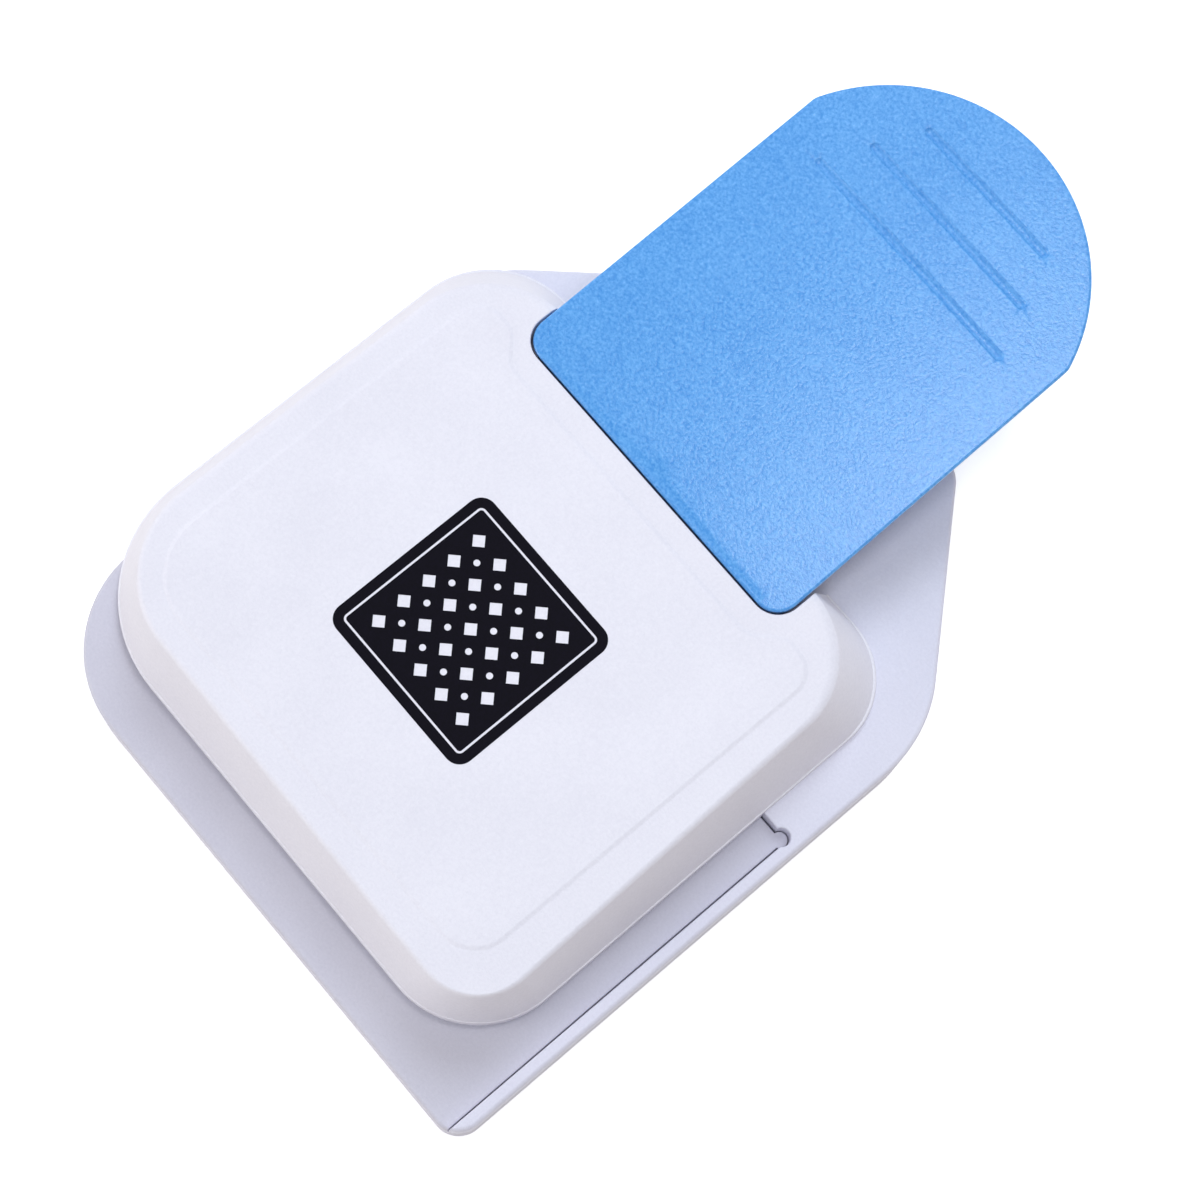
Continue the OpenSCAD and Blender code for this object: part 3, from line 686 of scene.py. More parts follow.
def settle(piece: Any) -> None:
    """Turns an object's live modifiers into plain mesh.

    Args:
        piece: Object that is changed.
    """
    graph = bpy.context.evaluated_depsgraph_get()
    mesh = bpy.data.meshes.new_from_object(piece.evaluated_get(graph))
    old = piece.data
    piece.modifiers.clear()
    piece.data = mesh
    bpy.data.meshes.remove(old)


def combine(piece: Any, how: Solid, *tools: Any) -> None:
    """Cuts tools from a solid or joins them to it, and removes the tools.

    Args:
        piece: Solid that is changed.
        how: Cut or join.
        tools: Solids that are used up.
    """
    for tool in tools:
        modifier = piece.modifiers.new("combine", "BOOLEAN")
        modifier.operation = how.value
        modifier.solver = "EXACT"
        modifier.object = tool
        settle(piece)
        used = tool.data
        bpy.data.objects.remove(tool)
        bpy.data.meshes.remove(used)


def shade(piece: Any) -> None:
    """Shades round faces smooth, keeps crisp edges and lets large flats stay flat.

    Args:
        piece: Object that is changed.
    """
    piece.data.shade_smooth()
    piece.data.set_sharp_from_angle(angle=CRISP_ANGLE)
    weighted = piece.modifiers.new("weighted_normals", "WEIGHTED_NORMAL")
    weighted.keep_sharp = True
    settle(piece)


def join_frame(piece: Any, material: Any, body: Body, slot: Slot, *nodes: str) -> None:
    """Scales a finished solid to metres, gives it its finish and puts it on its body.

    Args:
        piece: Object whose mesh is in millimetres.
        material: Finish.
        body: Body that it rides on.
        slot: Slot of the record; not used.
        nodes: CAD nodes that it stands for.
    """
    piece.data.transform(Matrix.Scale(MM, 4))
    shade(piece)
    piece.data.materials.clear()
    piece.data.materials.append(material)
    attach(piece, body.value)
    if nodes:
        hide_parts(*nodes)
    LOG.info("%s: %d faces on %s", piece.name, len(piece.data.polygons), body.value)


def quarter(r: float, steps: int) -> list[tuple[float, float]]:
    """Profile of a rounded edge.

    Args:
        r: Radius.
        steps: Pieces of the quarter circle.

    Returns:
        Pairs of the distance drawn in and the height above the start of the round.
    """
    angles = [math.pi / 2 * k / steps for k in range(steps + 1)]
    return [(r * (1 - math.cos(a)), r * math.sin(a)) for a in angles]


def round_depth(r: float, height: float) -> float:
    """Distance that a quarter round of radius r is drawn in at a height above its start."""
    rise = min(max(height, 0.0), r)
    return r - math.sqrt(max(r * r - rise * rise, 0.0))


@dataclass(frozen=True)
class Places:
    """Places of the punch in the frame, read from the CAD nodes' boxes."""

    base: NodeBox
    guide: NodeBox
    cover: NodeBox
    handle: NodeBox
    die: NodeBox
    spacer: NodeBox
    plate: NodeBox
    case_in: float = 10.6
    case_stop_in: float = 7.5
    case_rear_in: float = 10.5
    plate_screw_in: float = 17.0
    seat_fit: float = 0.2
    chip_half: tuple[float, float] = (17.0, 11.9)
    chip_y: float = -28.498

    @classmethod
    def read(cls) -> "Places":
        """Reads the boxes from the frame.

        Returns:
            The places, with the default distances.
        """
        nodes = ("base_shell", "paper_guide", "top_cover", "lever_handle", "die_plate",
                 "spacer_plate", "bottom_plate")
        return cls(*[NodeBox.of(node) for node in nodes])

    @property
    def middle(self) -> float:
        """X of the plane that the cover and the mechanism share."""
        return self.cover.mid.x

    @property
    def stop_y(self) -> float:
        """Y of the rear paper stop."""
        return self.spacer.lo.y

    @property
    def case_x(self) -> float:
        """Distance of the case and plate screws from the middle plane."""
        return self.cover.hi.x - self.middle - self.case_in

    @property
    def case_places(self) -> list[Spot]:
        """Places of the four case screws."""
        ys = (self.stop_y + self.case_stop_in, self.cover.hi.y - self.case_rear_in)
        return [(self.middle + s * self.case_x, y) for s in (-1, 1) for y in ys]

    @property
    def plate_places(self) -> list[Spot]:
        """Places of the two plate screws."""
        y = self.base.lo.y + self.plate_screw_in
        return [(self.middle + s * self.case_x, y) for s in (-1, 1)]

    @property
    def chip_window(self) -> list[Vector]:
        """Plan of the window that the chips fall through.

        Returns:
            Corners of the window.
        """
        half_x, half_y = self.chip_half
        x, y = self.middle, self.chip_y
        return rectangle(x - half_x, y - half_y, x + half_x, y + half_y)

    def die_block(self, grow: float, y0: float, y1: float) -> list[Vector]:
        """Plan of a block as wide as the die plate, grown on both sides."""
        return rectangle(self.die.lo.x - grow, y0, self.die.hi.x + grow, y1)


@dataclass(frozen=True)
class BasePlan:
    """Plan of the base, shared by the tray and by the guide that stands on it."""

    places: Places
    front_left_r: float = 20.7
    front_right_r: float = 4.5
    right_side: float = 98.0
    left_side: float = 91.1
    # Distances that the left side's front and rear ends stand in from the base's box
    left_in: tuple[float, float] = (5.1, 0.9)
    right_shoulder_r: float = 25.0
    left_shoulder_r: float = 26.0
    rear_right: float = 24.4
    rear_left: float = 18.5
    rear_right_r: float = 6.0
    rear_left_r: float = 18.0
    fence_w: float = 2.2
    relief_r: float = 1.5
    # Distances of the relief's middle from the fence and from the stop
    relief_in: tuple[float, float] = (1.0, 0.5)
    wall: float = 2.2
    end_steps: int = 8

    @property
    def outline(self) -> Outline:
        """Outline of the base at its widest.

        Returns:
            The outline.
        """
        lo, hi = self.places.base.lo, self.places.base.hi
        rear = self.places.guide.hi.y
        return Outline([
            Corner(lo.x + self.left_in[0], lo.y, self.front_left_r),
            Corner(hi.x, lo.y, self.front_right_r),
            Corner(hi.x, lo.y + self.right_side, self.right_shoulder_r),
            Corner(self.rear_right, rear, self.rear_right_r),
            Corner(-self.rear_left, rear, self.rear_left_r),
            Corner(lo.x + self.left_in[1], lo.y + self.left_side, self.left_shoulder_r),
        ], steps=20, pitch=3.0)

    @property
    def fence_x(self) -> float:
        """X of the fence's inner face."""
        return self.places.base.hi.x - self.fence_w

    @property
    def relief(self) -> Vector:
        """Middle of the relief in the corner of the fence and the stop."""
        return Vector((self.fence_x - self.relief_in[0], self.places.stop_y - self.relief_in[1]))

    def fence_end(self, drawn_in: float, cut_x: float) -> tuple[Vector, float, float]:
        """Front right corner where the line of the fence meets its arc.

        Args:
            drawn_in: Distance that the outline is drawn inwards.
            cut_x: X of the line.

        Returns:
            Middle of the arc, its radius, and the angle where the line meets it.
        """
        lo, hi = self.places.base.lo, self.places.base.hi
        centre = Vector((hi.x - self.front_right_r, lo.y + self.front_right_r))
        r = self.front_right_r - drawn_in
        return centre, r, -math.acos((cut_x - centre.x) / r)

    def left_end(self, drawn_in: float, y: float) -> Vector:
        """Finds a point of the left side.

        Args:
            drawn_in: Distance that the outline is drawn inwards.
            y: Y of the point.

        Returns:
            The point.
        """
        front, rear = self.outline.place(0), self.outline.place(5)
        share = (y - front.y) / (rear.y - front.y)
        return Vector((front.x + (rear.x - front.x) * share + drawn_in, y))

    def bed_chain(self, drawn_in: float, cut_x: float, cut_y: float) -> list[Vector]:
        """Outer edge of the bed, from the stop's left end round the front to the fence's front end.

        Args:
            drawn_in: Distance that the outline is drawn inwards.
            cut_x: X of the line along the fence.
            cut_y: Y of the line along the stop.

        Returns:
            Points of the edge.
        """
        centre, r, angle = self.fence_end(drawn_in, cut_x)
        end = arc_points(centre, r, -math.pi / 2, angle, self.end_steps)
        return [self.left_end(drawn_in, cut_y)] + self.outline.arc(0, drawn_in) + end

    def guide_chain(self, drawn_in: float, cut_x: float, cut_y: float) -> list[Vector]:
        """Outer edge of the guide, from the fence's front end round the rear to the stop's left end.

        Args:
            drawn_in: Distance that the outline is drawn inwards.
            cut_x: X of the line along the fence.
            cut_y: Y of the line along the stop.

        Returns:
            Points of the edge.
        """
        centre, r, angle = self.fence_end(drawn_in, cut_x)
        front = arc_points(centre, r, angle, 0, self.end_steps)
        return front + self.outline.run(2, 5, drawn_in) + [self.left_end(drawn_in, cut_y)]


@dataclass
class PaperTray:
    """Moulded tray: low walls all round and the paper bed, with the die's seat under it."""

    plan: BasePlan
    foot_round: float = 0.5
    bed_round: float = 0.7
    inner_round: float = 0.25
    seam: float = 0.3
    seat_margin: float = 4.0
    seat_depth: float = 3.5
    deck: float = 2.5
    column_r: float = 4.0
    plate_column_r: float = 3.2
    bed_pitch: float = 6.0

    def build(self) -> Any:
        """Makes the tray's solid.

        Returns:
            The solid, in millimetres.
        """
        plan, places = self.plan, self.plan.places
        base, joint_z, bed_z = places.base, places.guide.lo.z, places.base.hi.z
        cut_x = plan.fence_x - self.seam
        cut_y = places.stop_y - self.seam
        shell = Shell()
        rings = []
        heights = [(self.foot_round - h, base.lo.z + d) for d, h in quarter(self.foot_round, steps=4)]
        for drawn_in, z in heights + [(0.0, joint_z)]:
            bed = plan.bed_chain(drawn_in, cut_x, cut_y)
            rings.append(shell.ring(bed + plan.guide_chain(drawn_in, cut_x, cut_y)[1:-1], z))
        shell.stack(rings)
        shell.fill(rings[0])
        count = len(plan.bed_chain(0, cut_x, cut_y))
        inner = shell.ring([Vector((cut_x, cut_y))], joint_z)
        shell.fill(rings[-1][count - 1 :] + [rings[-1][0]] + inner)
        loops = [rings[-1][:count] + inner]
        for drawn_in, rise in quarter(self.bed_round, steps=5):
            z = bed_z - self.bed_round + rise
            shy = round_depth(self.inner_round, z - bed_z + self.inner_round)
            points = plan.bed_chain(drawn_in, cut_x - shy, cut_y - shy)
            loops.append(shell.ring(points + [Vector((cut_x - shy, cut_y - shy))], z))
        shell.stack(loops)
        shell.fill(loops[-1], pitch=self.bed_pitch)
        tray = shell.solid("tray_moulding")
        ear = circle(plan.relief.x, plan.relief.y, plan.relief_r - places.seat_fit)
        combine(tray, Solid.JOIN, prism(ear, joint_z, bed_z))
        self.hollow(tray, cut_y, joint_z)
        return tray

    def hollow(self, tray: Any, cut_y: float, joint_z: float) -> None:
        """Opens the tray from below and adds the die's seat and the screw columns.

        Args:
            tray: Solid that is changed.
            cut_y: Y of the deck's rear edge.
            joint_z: Height of the joint between tray and guide.
        """
        plan, places = self.plan, self.plan.places
        low, plate_top = places.base.lo.z, places.plate.hi.z
        die, bed_z = places.die, places.base.hi.z
        room = plan.outline.ring(plan.wall)
        rear = clip(room, 1, cut_y, True)
        front = clip(clip(room, 0, plan.fence_x - plan.wall, False), 1, places.stop_y - plan.wall, False)
        combine(tray, Solid.CUT, prism(room, low - OVER, plate_top), prism(rear, low, joint_z + OVER),
                prism(front, low, joint_z))
        margin, seat_low = self.seat_margin, die.lo.z - self.seat_depth
        seat = places.die_block(margin, die.lo.y - margin, die.hi.y + margin)
        pad = places.die_block(0, places.stop_y - OVER, die.hi.y)
        combine(tray, Solid.JOIN, prism(seat, seat_low, joint_z), prism(pad, seat_low, die.lo.z))
        combine(tray, Solid.JOIN, *pillars(places.case_places, self.column_r, plate_top, joint_z))
        deck_z = bed_z - self.deck / 2
        combine(tray, Solid.JOIN, *pillars(places.plate_places, self.plate_column_r, plate_top, deck_z))
        fit = places.seat_fit
        pocket = places.die_block(fit, die.lo.y - fit, die.hi.y + fit)
        combine(tray, Solid.CUT, prism(pocket, die.lo.z, bed_z + OVER),
                prism(places.chip_window, low, bed_z))

    def dress(self) -> None:
        """Builds the tray and puts it on the housing."""
        join_frame(self.build(), TRAY_ABS.material(), Body.HOUSING, Slot.WHITE, "base_shell")


@dataclass
class BottomPlate:
    """Moulded plate that closes the tray from below, open under the die so that the chips fall out."""

    plan: BasePlan
    edge: float = 0.3
    head_r: float = 2.75
    shank_r: float = 1.45

    def build(self) -> Any:
        """Makes the plate's solid.

        Returns:
            The solid, in millimetres.
        """
        places, outline = self.plan.places, self.plan.outline
        low, top = places.plate.lo.z, places.plate.hi.z
        drawn_in = self.plan.wall + places.seat_fit
        levels = [(drawn_in + self.edge, low), (drawn_in, low + self.edge), (drawn_in, top)]
        plate = loft([(outline.ring(inset), z) for inset, z in levels], "plate_moulding")
        combine(plate, Solid.CUT, prism(places.chip_window, low - OVER, top + OVER))
        for x, y in places.case_places + places.plate_places:
            head, shank = circle(x, y, self.head_r), circle(x, y, self.shank_r)
            sink = loft([(head, low - OVER), (head, low), (shank, top), (shank, top + OVER)])
            combine(plate, Solid.CUT, sink)
        return plate

    def dress(self) -> None:
        """Builds the plate and puts it on the housing."""
        join_frame(self.build(), GREY_ABS.material(), Body.HOUSING, Slot.GREY, "bottom_plate")


@dataclass
class PaperGuide:
    """Moulded guide on the tray: the right fence, the rear stop and the falling rear platform."""

    plan: BasePlan
    outer_round: float = 0.8
    inner_round: float = 0.3
    seam: float = 0.25
    fall: float = 3.0
    fall_from: float = 8.5
    column_r: float = 4.0
    top_pitch: float = 3.0

    def inner_chain(self, shy: float) -> list[Vector]:
        """Inner edge of the guide along the stop, round the relief and down the fence.

        Args:
            shy: Distance that the edge is drawn back from the bed.

        Returns:
            Points from the stop to the fence, their far ends left out.
        """
        r = self.plan.relief_r + shy
        fence, stop = [math.asin((gap + shy) / r) for gap in self.plan.relief_in]
        return arc_points(self.plan.relief, r, math.pi - stop, fence - math.pi / 2, steps=18)

    def drop(self, place: Vector) -> Vector:
        """Lets the rear platform fall towards the rear edge.

        Args:
            place: Point of the guide.

        Returns:
            Its new place.
        """
        start, rear = self.plan.places.cover.hi.y, self.plan.places.guide.hi.y
        share = max(0.0, (place.y - start) / (rear - start))
        low = place.z if place.z < self.fall_from else place.z - self.fall * share
        return Vector((place.x, place.y, low))

    def build(self) -> Any:
        """Makes the guide's solid.

        Returns:
            The solid, in millimetres.
        """
        plan, places = self.plan, self.plan.places
        low, top = places.guide.lo.z, places.guide.hi.z
        start = top - self.outer_round
        levels = [(self.seam, self.seam, low), (0.0, 0.0, low + self.seam)]
        for drawn_in, rise in quarter(self.outer_round, steps=9):
            shy = round_depth(self.inner_round, start + rise - top + self.inner_round)
            levels.append((drawn_in, shy, start + rise))
        chains = []
        for drawn_in, shy, z in levels:
            outer = plan.guide_chain(drawn_in, plan.fence_x + shy, places.stop_y + shy)
            chains.append((outer + self.inner_chain(shy), z))
        guide = loft(chains, "guide_moulding", self.top_pitch, self.drop)
        self.hollow(guide, low, top)
        return guide

    def hollow(self, guide: Any, low: float, top: float) -> None:
        """Opens the guide from below and clears the die set and the case screws.

        Args:
            guide: Solid that is changed.
            low: Height of its lower face.
            top: Height of its upper face.
        """
        plan, places = self.plan, self.plan.places
        room = clip(plan.outline.ring(plan.wall), 1, places.stop_y + plan.wall, True)
        levels = [(room, z) for z in (low - OVER, low + self.seam, top - plan.wall)]
        combine(guide, Solid.CUT, loft(levels, pitch=self.top_pitch, bend=self.drop))
        combine(guide, Solid.JOIN, *pillars(places.case_places, self.column_r, low, top - plan.wall / 2))
        fit = places.seat_fit
        pocket = places.die_block(fit, places.stop_y - OVER, places.die.hi.y + fit)
        combine(guide, Solid.CUT, prism(pocket, low - OVER, top + OVER))

    def dress(self) -> None:
        """Builds the guide and puts it on the housing."""
        join_frame(self.build(), GUIDE_ABS.material(), Body.HOUSING, Slot.WHITE, "paper_guide")


@dataclass
class TopCover:
    """Moulded cover: leaning walls, a round upper edge, a notch for the lever and a raised panel."""

    places: Places
    # Corner radii at the foot and at the top of the leaning walls
    front_left_r: Span = (24.4, 17.4)
    front_right_r: Span = (17.2, 10.3)
    rear_right_r: Span = (13.0, 15.4)
    rear_left_r: Span = (16.2, 16.3)
    # Steps of the four corners, front left first, off a true rectangle at the foot and at the top
    foot_pull: tuple[Spot, ...] = ((-0.6, 0.45), (0.45, 0.45), (0.45, 1.2), (-0.6, 1.0))
    top_pull: tuple[Spot, ...] = ((0.0, 0.7), (1.9, -0.75), (-0.1, 0.0), (0.0, -0.6))
    # Skirt at the walls' foot, which hangs over the bed in front of the stop and ends in a small ledge
    skirt: float = 1.2
    skirt_in: float = 0.8
    hang: float = 1.8
    hang_gap: float = 0.4
    ledge: float = 0.05
    foot_round: float = 0.3
    side_lean: float = 5.3
    rear_lean: float = 4.4
    edge_start: float = 0.8
    edge_steps: int = 10
    panel_box_h: float = 0.6
    panel_h: float = 0.2
    panel_margin: float = 5.1
    panel_left_r: float = 11.5
    panel_right_r: float = 6.5
    panel_slope: float = 0.9
    panel_steps: int = 8
    panel_back: float = 4.6
    ear_step: float = 4.3
    ear_in: float = 28.55
    ear_out: float = 32.55
    ear_r: float = 4.4
    wall: float = 2.2
    notch_half: float = 30.72
    notch_shift: float = 0.45
    notch_gap: float = 0.3
    notch_r: float = 4.5
    notch_round: float = 0.25
    column_r: float = 3.6
    column_h: float = 6.0

    @property
    def top(self) -> float:
        """Height of the cover's top beside the panel."""
        return self.places.cover.hi.z - self.panel_box_h

    def ring(self, side: float, rear: float, wall: float = 0.0) -> list[Vector]:
        """Outline drawn in by one distance at the front and sides and another at the rear.

        Args:
            side: Distance at the front and sides.
            rear: Distance at the rear.
            wall: Further distance inwards, to the inside of the wall.

        Returns:
            Points of the outline.
        """
        lo, hi = self.places.cover.lo, self.places.cover.hi
        share = side / self.side_lean
        pairs = (self.front_left_r, self.front_right_r, self.rear_right_r, self.rear_left_r)
        radii = [a + (b - a) * share - wall for a, b in pairs]
        side, rear = side + wall, rear + wall
        places = rectangle(lo.x + side, lo.y + side, hi.x - side, hi.y - rear)
        pulls = [Vector(a).lerp(Vector(b), share) for a, b in zip(self.foot_pull, self.top_pull)]
        return Outline([Corner(*(p + q), r) for p, q, r in zip(places, pulls, radii)], steps=20).ring()

    def edge(self, lean: float, height: float) -> float:
        """Distance drawn in along the wall and its round upper edge.

        Args:
            lean: Inward lean of the wall up to the start of the round.
            height: Height below the top.

        Returns:
            Distance drawn in at that height.
        """
        rise = self.top - self.edge_start - self.places.cover.lo.z - self.skirt
        slope = (lean - self.skirt_in - self.ledge) / rise
        if height >= self.edge_start:
            return lean - slope * (height - self.edge_start)
        reach = self.edge_start * math.hypot(1, slope)
        turn = math.pi / 2 - math.atan(slope)
        r = reach / math.tan(turn / 2)
        corner = lean + slope * self.edge_start
        middle = corner + reach
        return middle - math.sqrt(max(r * r - (r - height) ** 2, 0.0))

    def panel(self) -> Outline:
        """Outlines the raised panel, which steps back round the lever's front corners.

        Returns:
            The outline.
        """
        x, lo = self.places.middle, self.places.cover.lo
        half = (self.places.cover.hi.x - lo.x) / 2 - self.side_lean - self.panel_margin
        front = lo.y + self.side_lean + self.panel_margin
        back = self.places.handle.lo.y - self.panel_back
        ear = back + self.ear_step
        return Outline([
            Corner(x - half, front, self.panel_left_r),
            Corner(x + half, front, self.panel_right_r),
            Corner(x + half, ear, self.ear_r),
            Corner(x + self.ear_out, ear, self.ear_r),
            Corner(x + self.ear_in, back, self.ear_r),
            Corner(x - self.ear_in, back, self.ear_r),
            Corner(x - self.ear_out, ear, self.ear_r),
            Corner(x - half, ear, self.ear_r),
        ], steps=12)

    def build(self) -> Any:
        """Makes the cover's solid.

        Returns:
            The solid, in millimetres.
        """
        low, top = self.places.cover.lo.z, self.top
        foot, r = self.skirt_in, self.foot_round
        profile = [(foot + r, low - self.hang), (foot, low - self.hang + r), (foot, low + self.skirt - r)]
        start = low + self.skirt - r
        profile += [(foot + drawn_in, start + rise) for drawn_in, rise in quarter(r, steps=4)[1:]]
        levels = [(inset, inset, z) for inset, z in profile]
        n = self.edge_steps
        for depth in [self.edge_start * math.cos(math.pi / 2 * k / n) ** 2 for k in range(n + 1)]:
            levels.append((self.edge(self.side_lean, depth), self.edge(self.rear_lean, depth), top - depth))
        shell = Shell()
        rings = [shell.ring(self.ring(side, rear), z) for side, rear, z in levels]
        shell.stack(rings)
        shell.fill(rings[0])
        outline = self.panel()
        slope = []
        for t in [k / self.panel_steps for k in range(self.panel_steps + 1)]:
            lift = t * t * (3 - 2 * t)
            slope.append(shell.ring(outline.ring((t - 0.5) * self.panel_slope), top + self.panel_h * lift))
        shell.fill(rings[-1], slope[0])
        shell.stack(slope)
        shell.fill(slope[-1])
        cover = shell.solid("cover_moulding")
        self.hollow(cover, low, top)
        return cover

    def hollow(self, cover: Any, low: float, top: float) -> None:
        """Opens the cover from below, adds the screw columns and cuts the lever's notch.

        Args:
            cover: Solid that is changed.
            low: Height of its lower edge.
            top: Height of its top beside the panel.
        """
        wall, places = self.wall, self.places
        roof = top - wall
        combine(cover, Solid.CUT, loft([
            (self.ring(0, 0, wall), low - self.hang - OVER),
            (self.ring(0, 0, wall), low + self.skirt),
            (self.ring(self.side_lean, self.rear_lean, wall), roof),
        ]))
        box = places.cover
        seat = rectangle(box.lo.x - OVER, places.stop_y - self.hang_gap, box.hi.x + OVER, box.hi.y + OVER)
        combine(cover, Solid.CUT, prism(seat, low - self.hang - OVER, low))
        combine(cover, Solid.JOIN, *pillars(places.case_places, self.column_r, low, low + self.column_h))
        x, half = places.middle - self.notch_shift, self.notch_half
        front = places.handle.lo.y - self.notch_gap
        rear = places.cover.hi.y + 3 * OVER
        notch = Outline([
            Corner(x - half, front, self.notch_r),
            Corner(x + half, front, self.notch_r),
            Corner(x + half, rear, SHARP),
            Corner(x - half, rear, SHARP),
        ], steps=14)
        r = self.notch_round
        levels = [(notch.ring(0), low - OVER)]
        levels += [(notch.ring(-drawn_in), top - r + rise) for drawn_in, rise in quarter(r, steps=5)]
        levels += [(notch.ring(-r), top + OVER)]
        combine(cover, Solid.CUT, loft(levels))

    def dress(self) -> None:
        """Builds the cover and puts it on the housing."""
        join_frame(self.build(), WHITE_ABS.material(), Body.HOUSING, Slot.WHITE, "top_cover")


@dataclass
class PalmLever:
    """Moulded palm lever: a shallow tray turned over, with soft edges and three grip grooves."""

    places: Places
    width: float = 60.75
    length: float = 82.5
    taper: float = 0.8
    shift: float = 0.45
    tip_r: float = 32.0
    front_r: float = 4.2
    joint_r: float = 3.5
    skin: float = 2.6
    depth: float = 5.6
    rim: float = 2.2
    tilt: float = math.radians(6)
    edge_round: float = 0.5
    # A narrow flat rim, which keeps the top's shading level up to its edge
    rim_flat: float = 0.9
    top_pitch: float = 2.6
    foot_round: float = 0.4
    draft: float = 0.45
    crown: float = 0.5
    groove_n: int = 3
    groove_w: float = 1.4
    groove_pitch: float = 8.3
    groove_tip: float = 11.3
    groove_l: float = 28.2
    groove_step: float = 7.8
    groove_pieces: int = 8
    # Steps of the groove's side: distance outside its mouth, and height
    groove_side: tuple[Span, ...] = (
        (0.25, 0.0), (0.12, -0.03), (0.03, -0.12), (-0.12, -0.26), (-0.35, -0.36), (-0.55, -0.4))
    lip_half: float = 28.0
    lip_top: float = -3.4
    boss_r: float = 3.4
    boss_low: float = -4.0
    screw_places: tuple[Spot, ...] = ((0, 30), (-13, 50), (13, 50))
    # Cap screws under the yoke's web: height of the web, radius and height of a head, radius and length
    # of a shank
    web_low: float = -5.6
    cap_r: float = 2.4
    cap_h: float = 1.3
    cap_shank: Span = (1.2, 5.3)

    @property
    def matrix(self) -> Matrix:
        """Place of the lever's own plane in the frame, in millimetres.

        Returns:
            The matrix from that plane to the frame.
        """
        handle = self.places.handle
        lift = handle.hi.z - self.length * math.sin(self.tilt)
        place = (self.places.middle, handle.lo.y, lift)
        return Matrix.Translation(place) @ Matrix.Rotation(self.tilt, 4, "X")

    def ring(self, drawn_in: float) -> list[Vector]:
        """Outline in the lever's plane: straight tapered sides and a round tip.

        Args:
            drawn_in: Distance that the outline is drawn inwards.

        Returns:
            Points of the outline.
        """
        half, r = self.width / 2, self.joint_r
        side = Vector((half - self.taper / 2, self.length)) - Vector((half, 0))
        along = side.normalized()
        inward = Vector((-along.y, along.x))
        middle = Vector((0, self.length - self.tip_r))
        start = Vector((half, 0)) + inward * r - middle
        reach = -start.dot(along)
        reach += math.sqrt(start.dot(along) ** 2 - start.dot(start) + (self.tip_r - r) ** 2)
        centre = middle + start + along * reach
        out = centre - middle
        first, turn = math.atan2(-inward.y, -inward.x), math.atan2(out.y, out.x)
        bend = arc_points(centre, r - drawn_in, first, turn, steps=8)
        tip = arc_points(middle, self.tip_r - drawn_in, turn, math.pi - turn, steps=56)
        mirrored = [Vector((-p.x, p.y)) for p in reversed(bend)]
        lean = side.x / side.y * self.length
        front = Outline([
            Corner(-half, 0, self.front_r), Corner(half, 0, self.front_r),
            Corner(half + lean, self.length, SHARP), Corner(-half - lean, self.length, SHARP)], steps=10)
        points = front.run(0, 1, drawn_in) + bend[:-1] + tip + mirrored[1:]
        return [Vector((p.x - self.shift, p.y)) for p in points]

    def groove(self, i: int, grow: float) -> list[Vector]:
        """Outlines one grip groove.

        Args:
            i: Number of the groove, from the tip.
            grow: Distance outside its mouth.

        Returns:
            Points of the outline.
        """
        y = self.length - self.groove_tip - i * self.groove_pitch
        half = (self.groove_l + i * self.groove_step - self.groove_w) / 2
        r = self.groove_w / 2 + grow
        ends = [Vector((side * half - self.shift, y)) for side in (1, -1)]
        right = arc_points(ends[0], r, -math.pi / 2, math.pi / 2, steps=12)
        left = arc_points(ends[1], r, math.pi / 2, 3 * math.pi / 2, steps=12)
        shares = [k / self.groove_pieces for k in range(1, self.groove_pieces)]
        upper = [right[-1].lerp(left[0], t) for t in shares]
        lower = [left[-1].lerp(right[0], t) for t in shares]
        return right + upper + left + lower

    def crowned(self, place: Vector) -> Vector:
        """Lowers the top's sides a little, so that it is crowned across.

        Args:
            place: Point of the lever.

        Returns:
            Its new place.
        """
        share = min(max((place.z + self.skin) / self.skin, 0.0), 1.0)
        across = (place.x + self.shift) / (self.width / 2)
        return Vector((place.x, place.y, place.z - self.crown * share * across * across))

    def build(self) -> Any:
        """Makes the lever's solid in its own plane, then puts it in place.

        Returns:
            The solid, in millimetres.
        """
        shell = Shell()
        low = -self.depth
        levels = [(self.draft + self.foot_round - h, low + d) for d, h in quarter(self.foot_round, steps=3)]
        levels += [(d, h - self.edge_round) for d, h in quarter(self.edge_round, steps=7)]
        levels.append((self.rim_flat, 0.0))
        rings = [shell.ring(self.ring(drawn_in), z) for drawn_in, z in levels]
        shell.stack(rings)
        shell.fill(rings[0])
        mouths = []
        for i in range(self.groove_n):
            loops = [shell.ring(self.groove(i, grow), z) for grow, z in self.groove_side]
            shell.stack(loops)
            shell.fill(loops[-1])
            mouths.append(loops[0])
        shell.fill(rings[-1], *mouths, pitch=self.top_pitch)
        shell.bend(self.crowned)
        lever = shell.solid("lever_moulding")
        combine(lever, Solid.CUT, prism(self.ring(self.rim), low - OVER, -self.skin))
        lip = rectangle(-self.lip_half, -OVER, self.lip_half, self.rim + OVER)
        combine(lever, Solid.CUT, prism(lip, low - OVER, self.lip_top))
        bosses = pillars(self.screw_places, self.boss_r, self.boss_low, -self.skin / 2)
        combine(lever, Solid.JOIN, *bosses)
        lever.data.transform(self.matrix)
        return lever

    def dress(self) -> None:
        """Builds the lever's handle and puts it on the lever."""
        join_frame(self.build(), BLUE_ABS.material(), Body.LEVER, Slot.BLUE, "lever_handle")


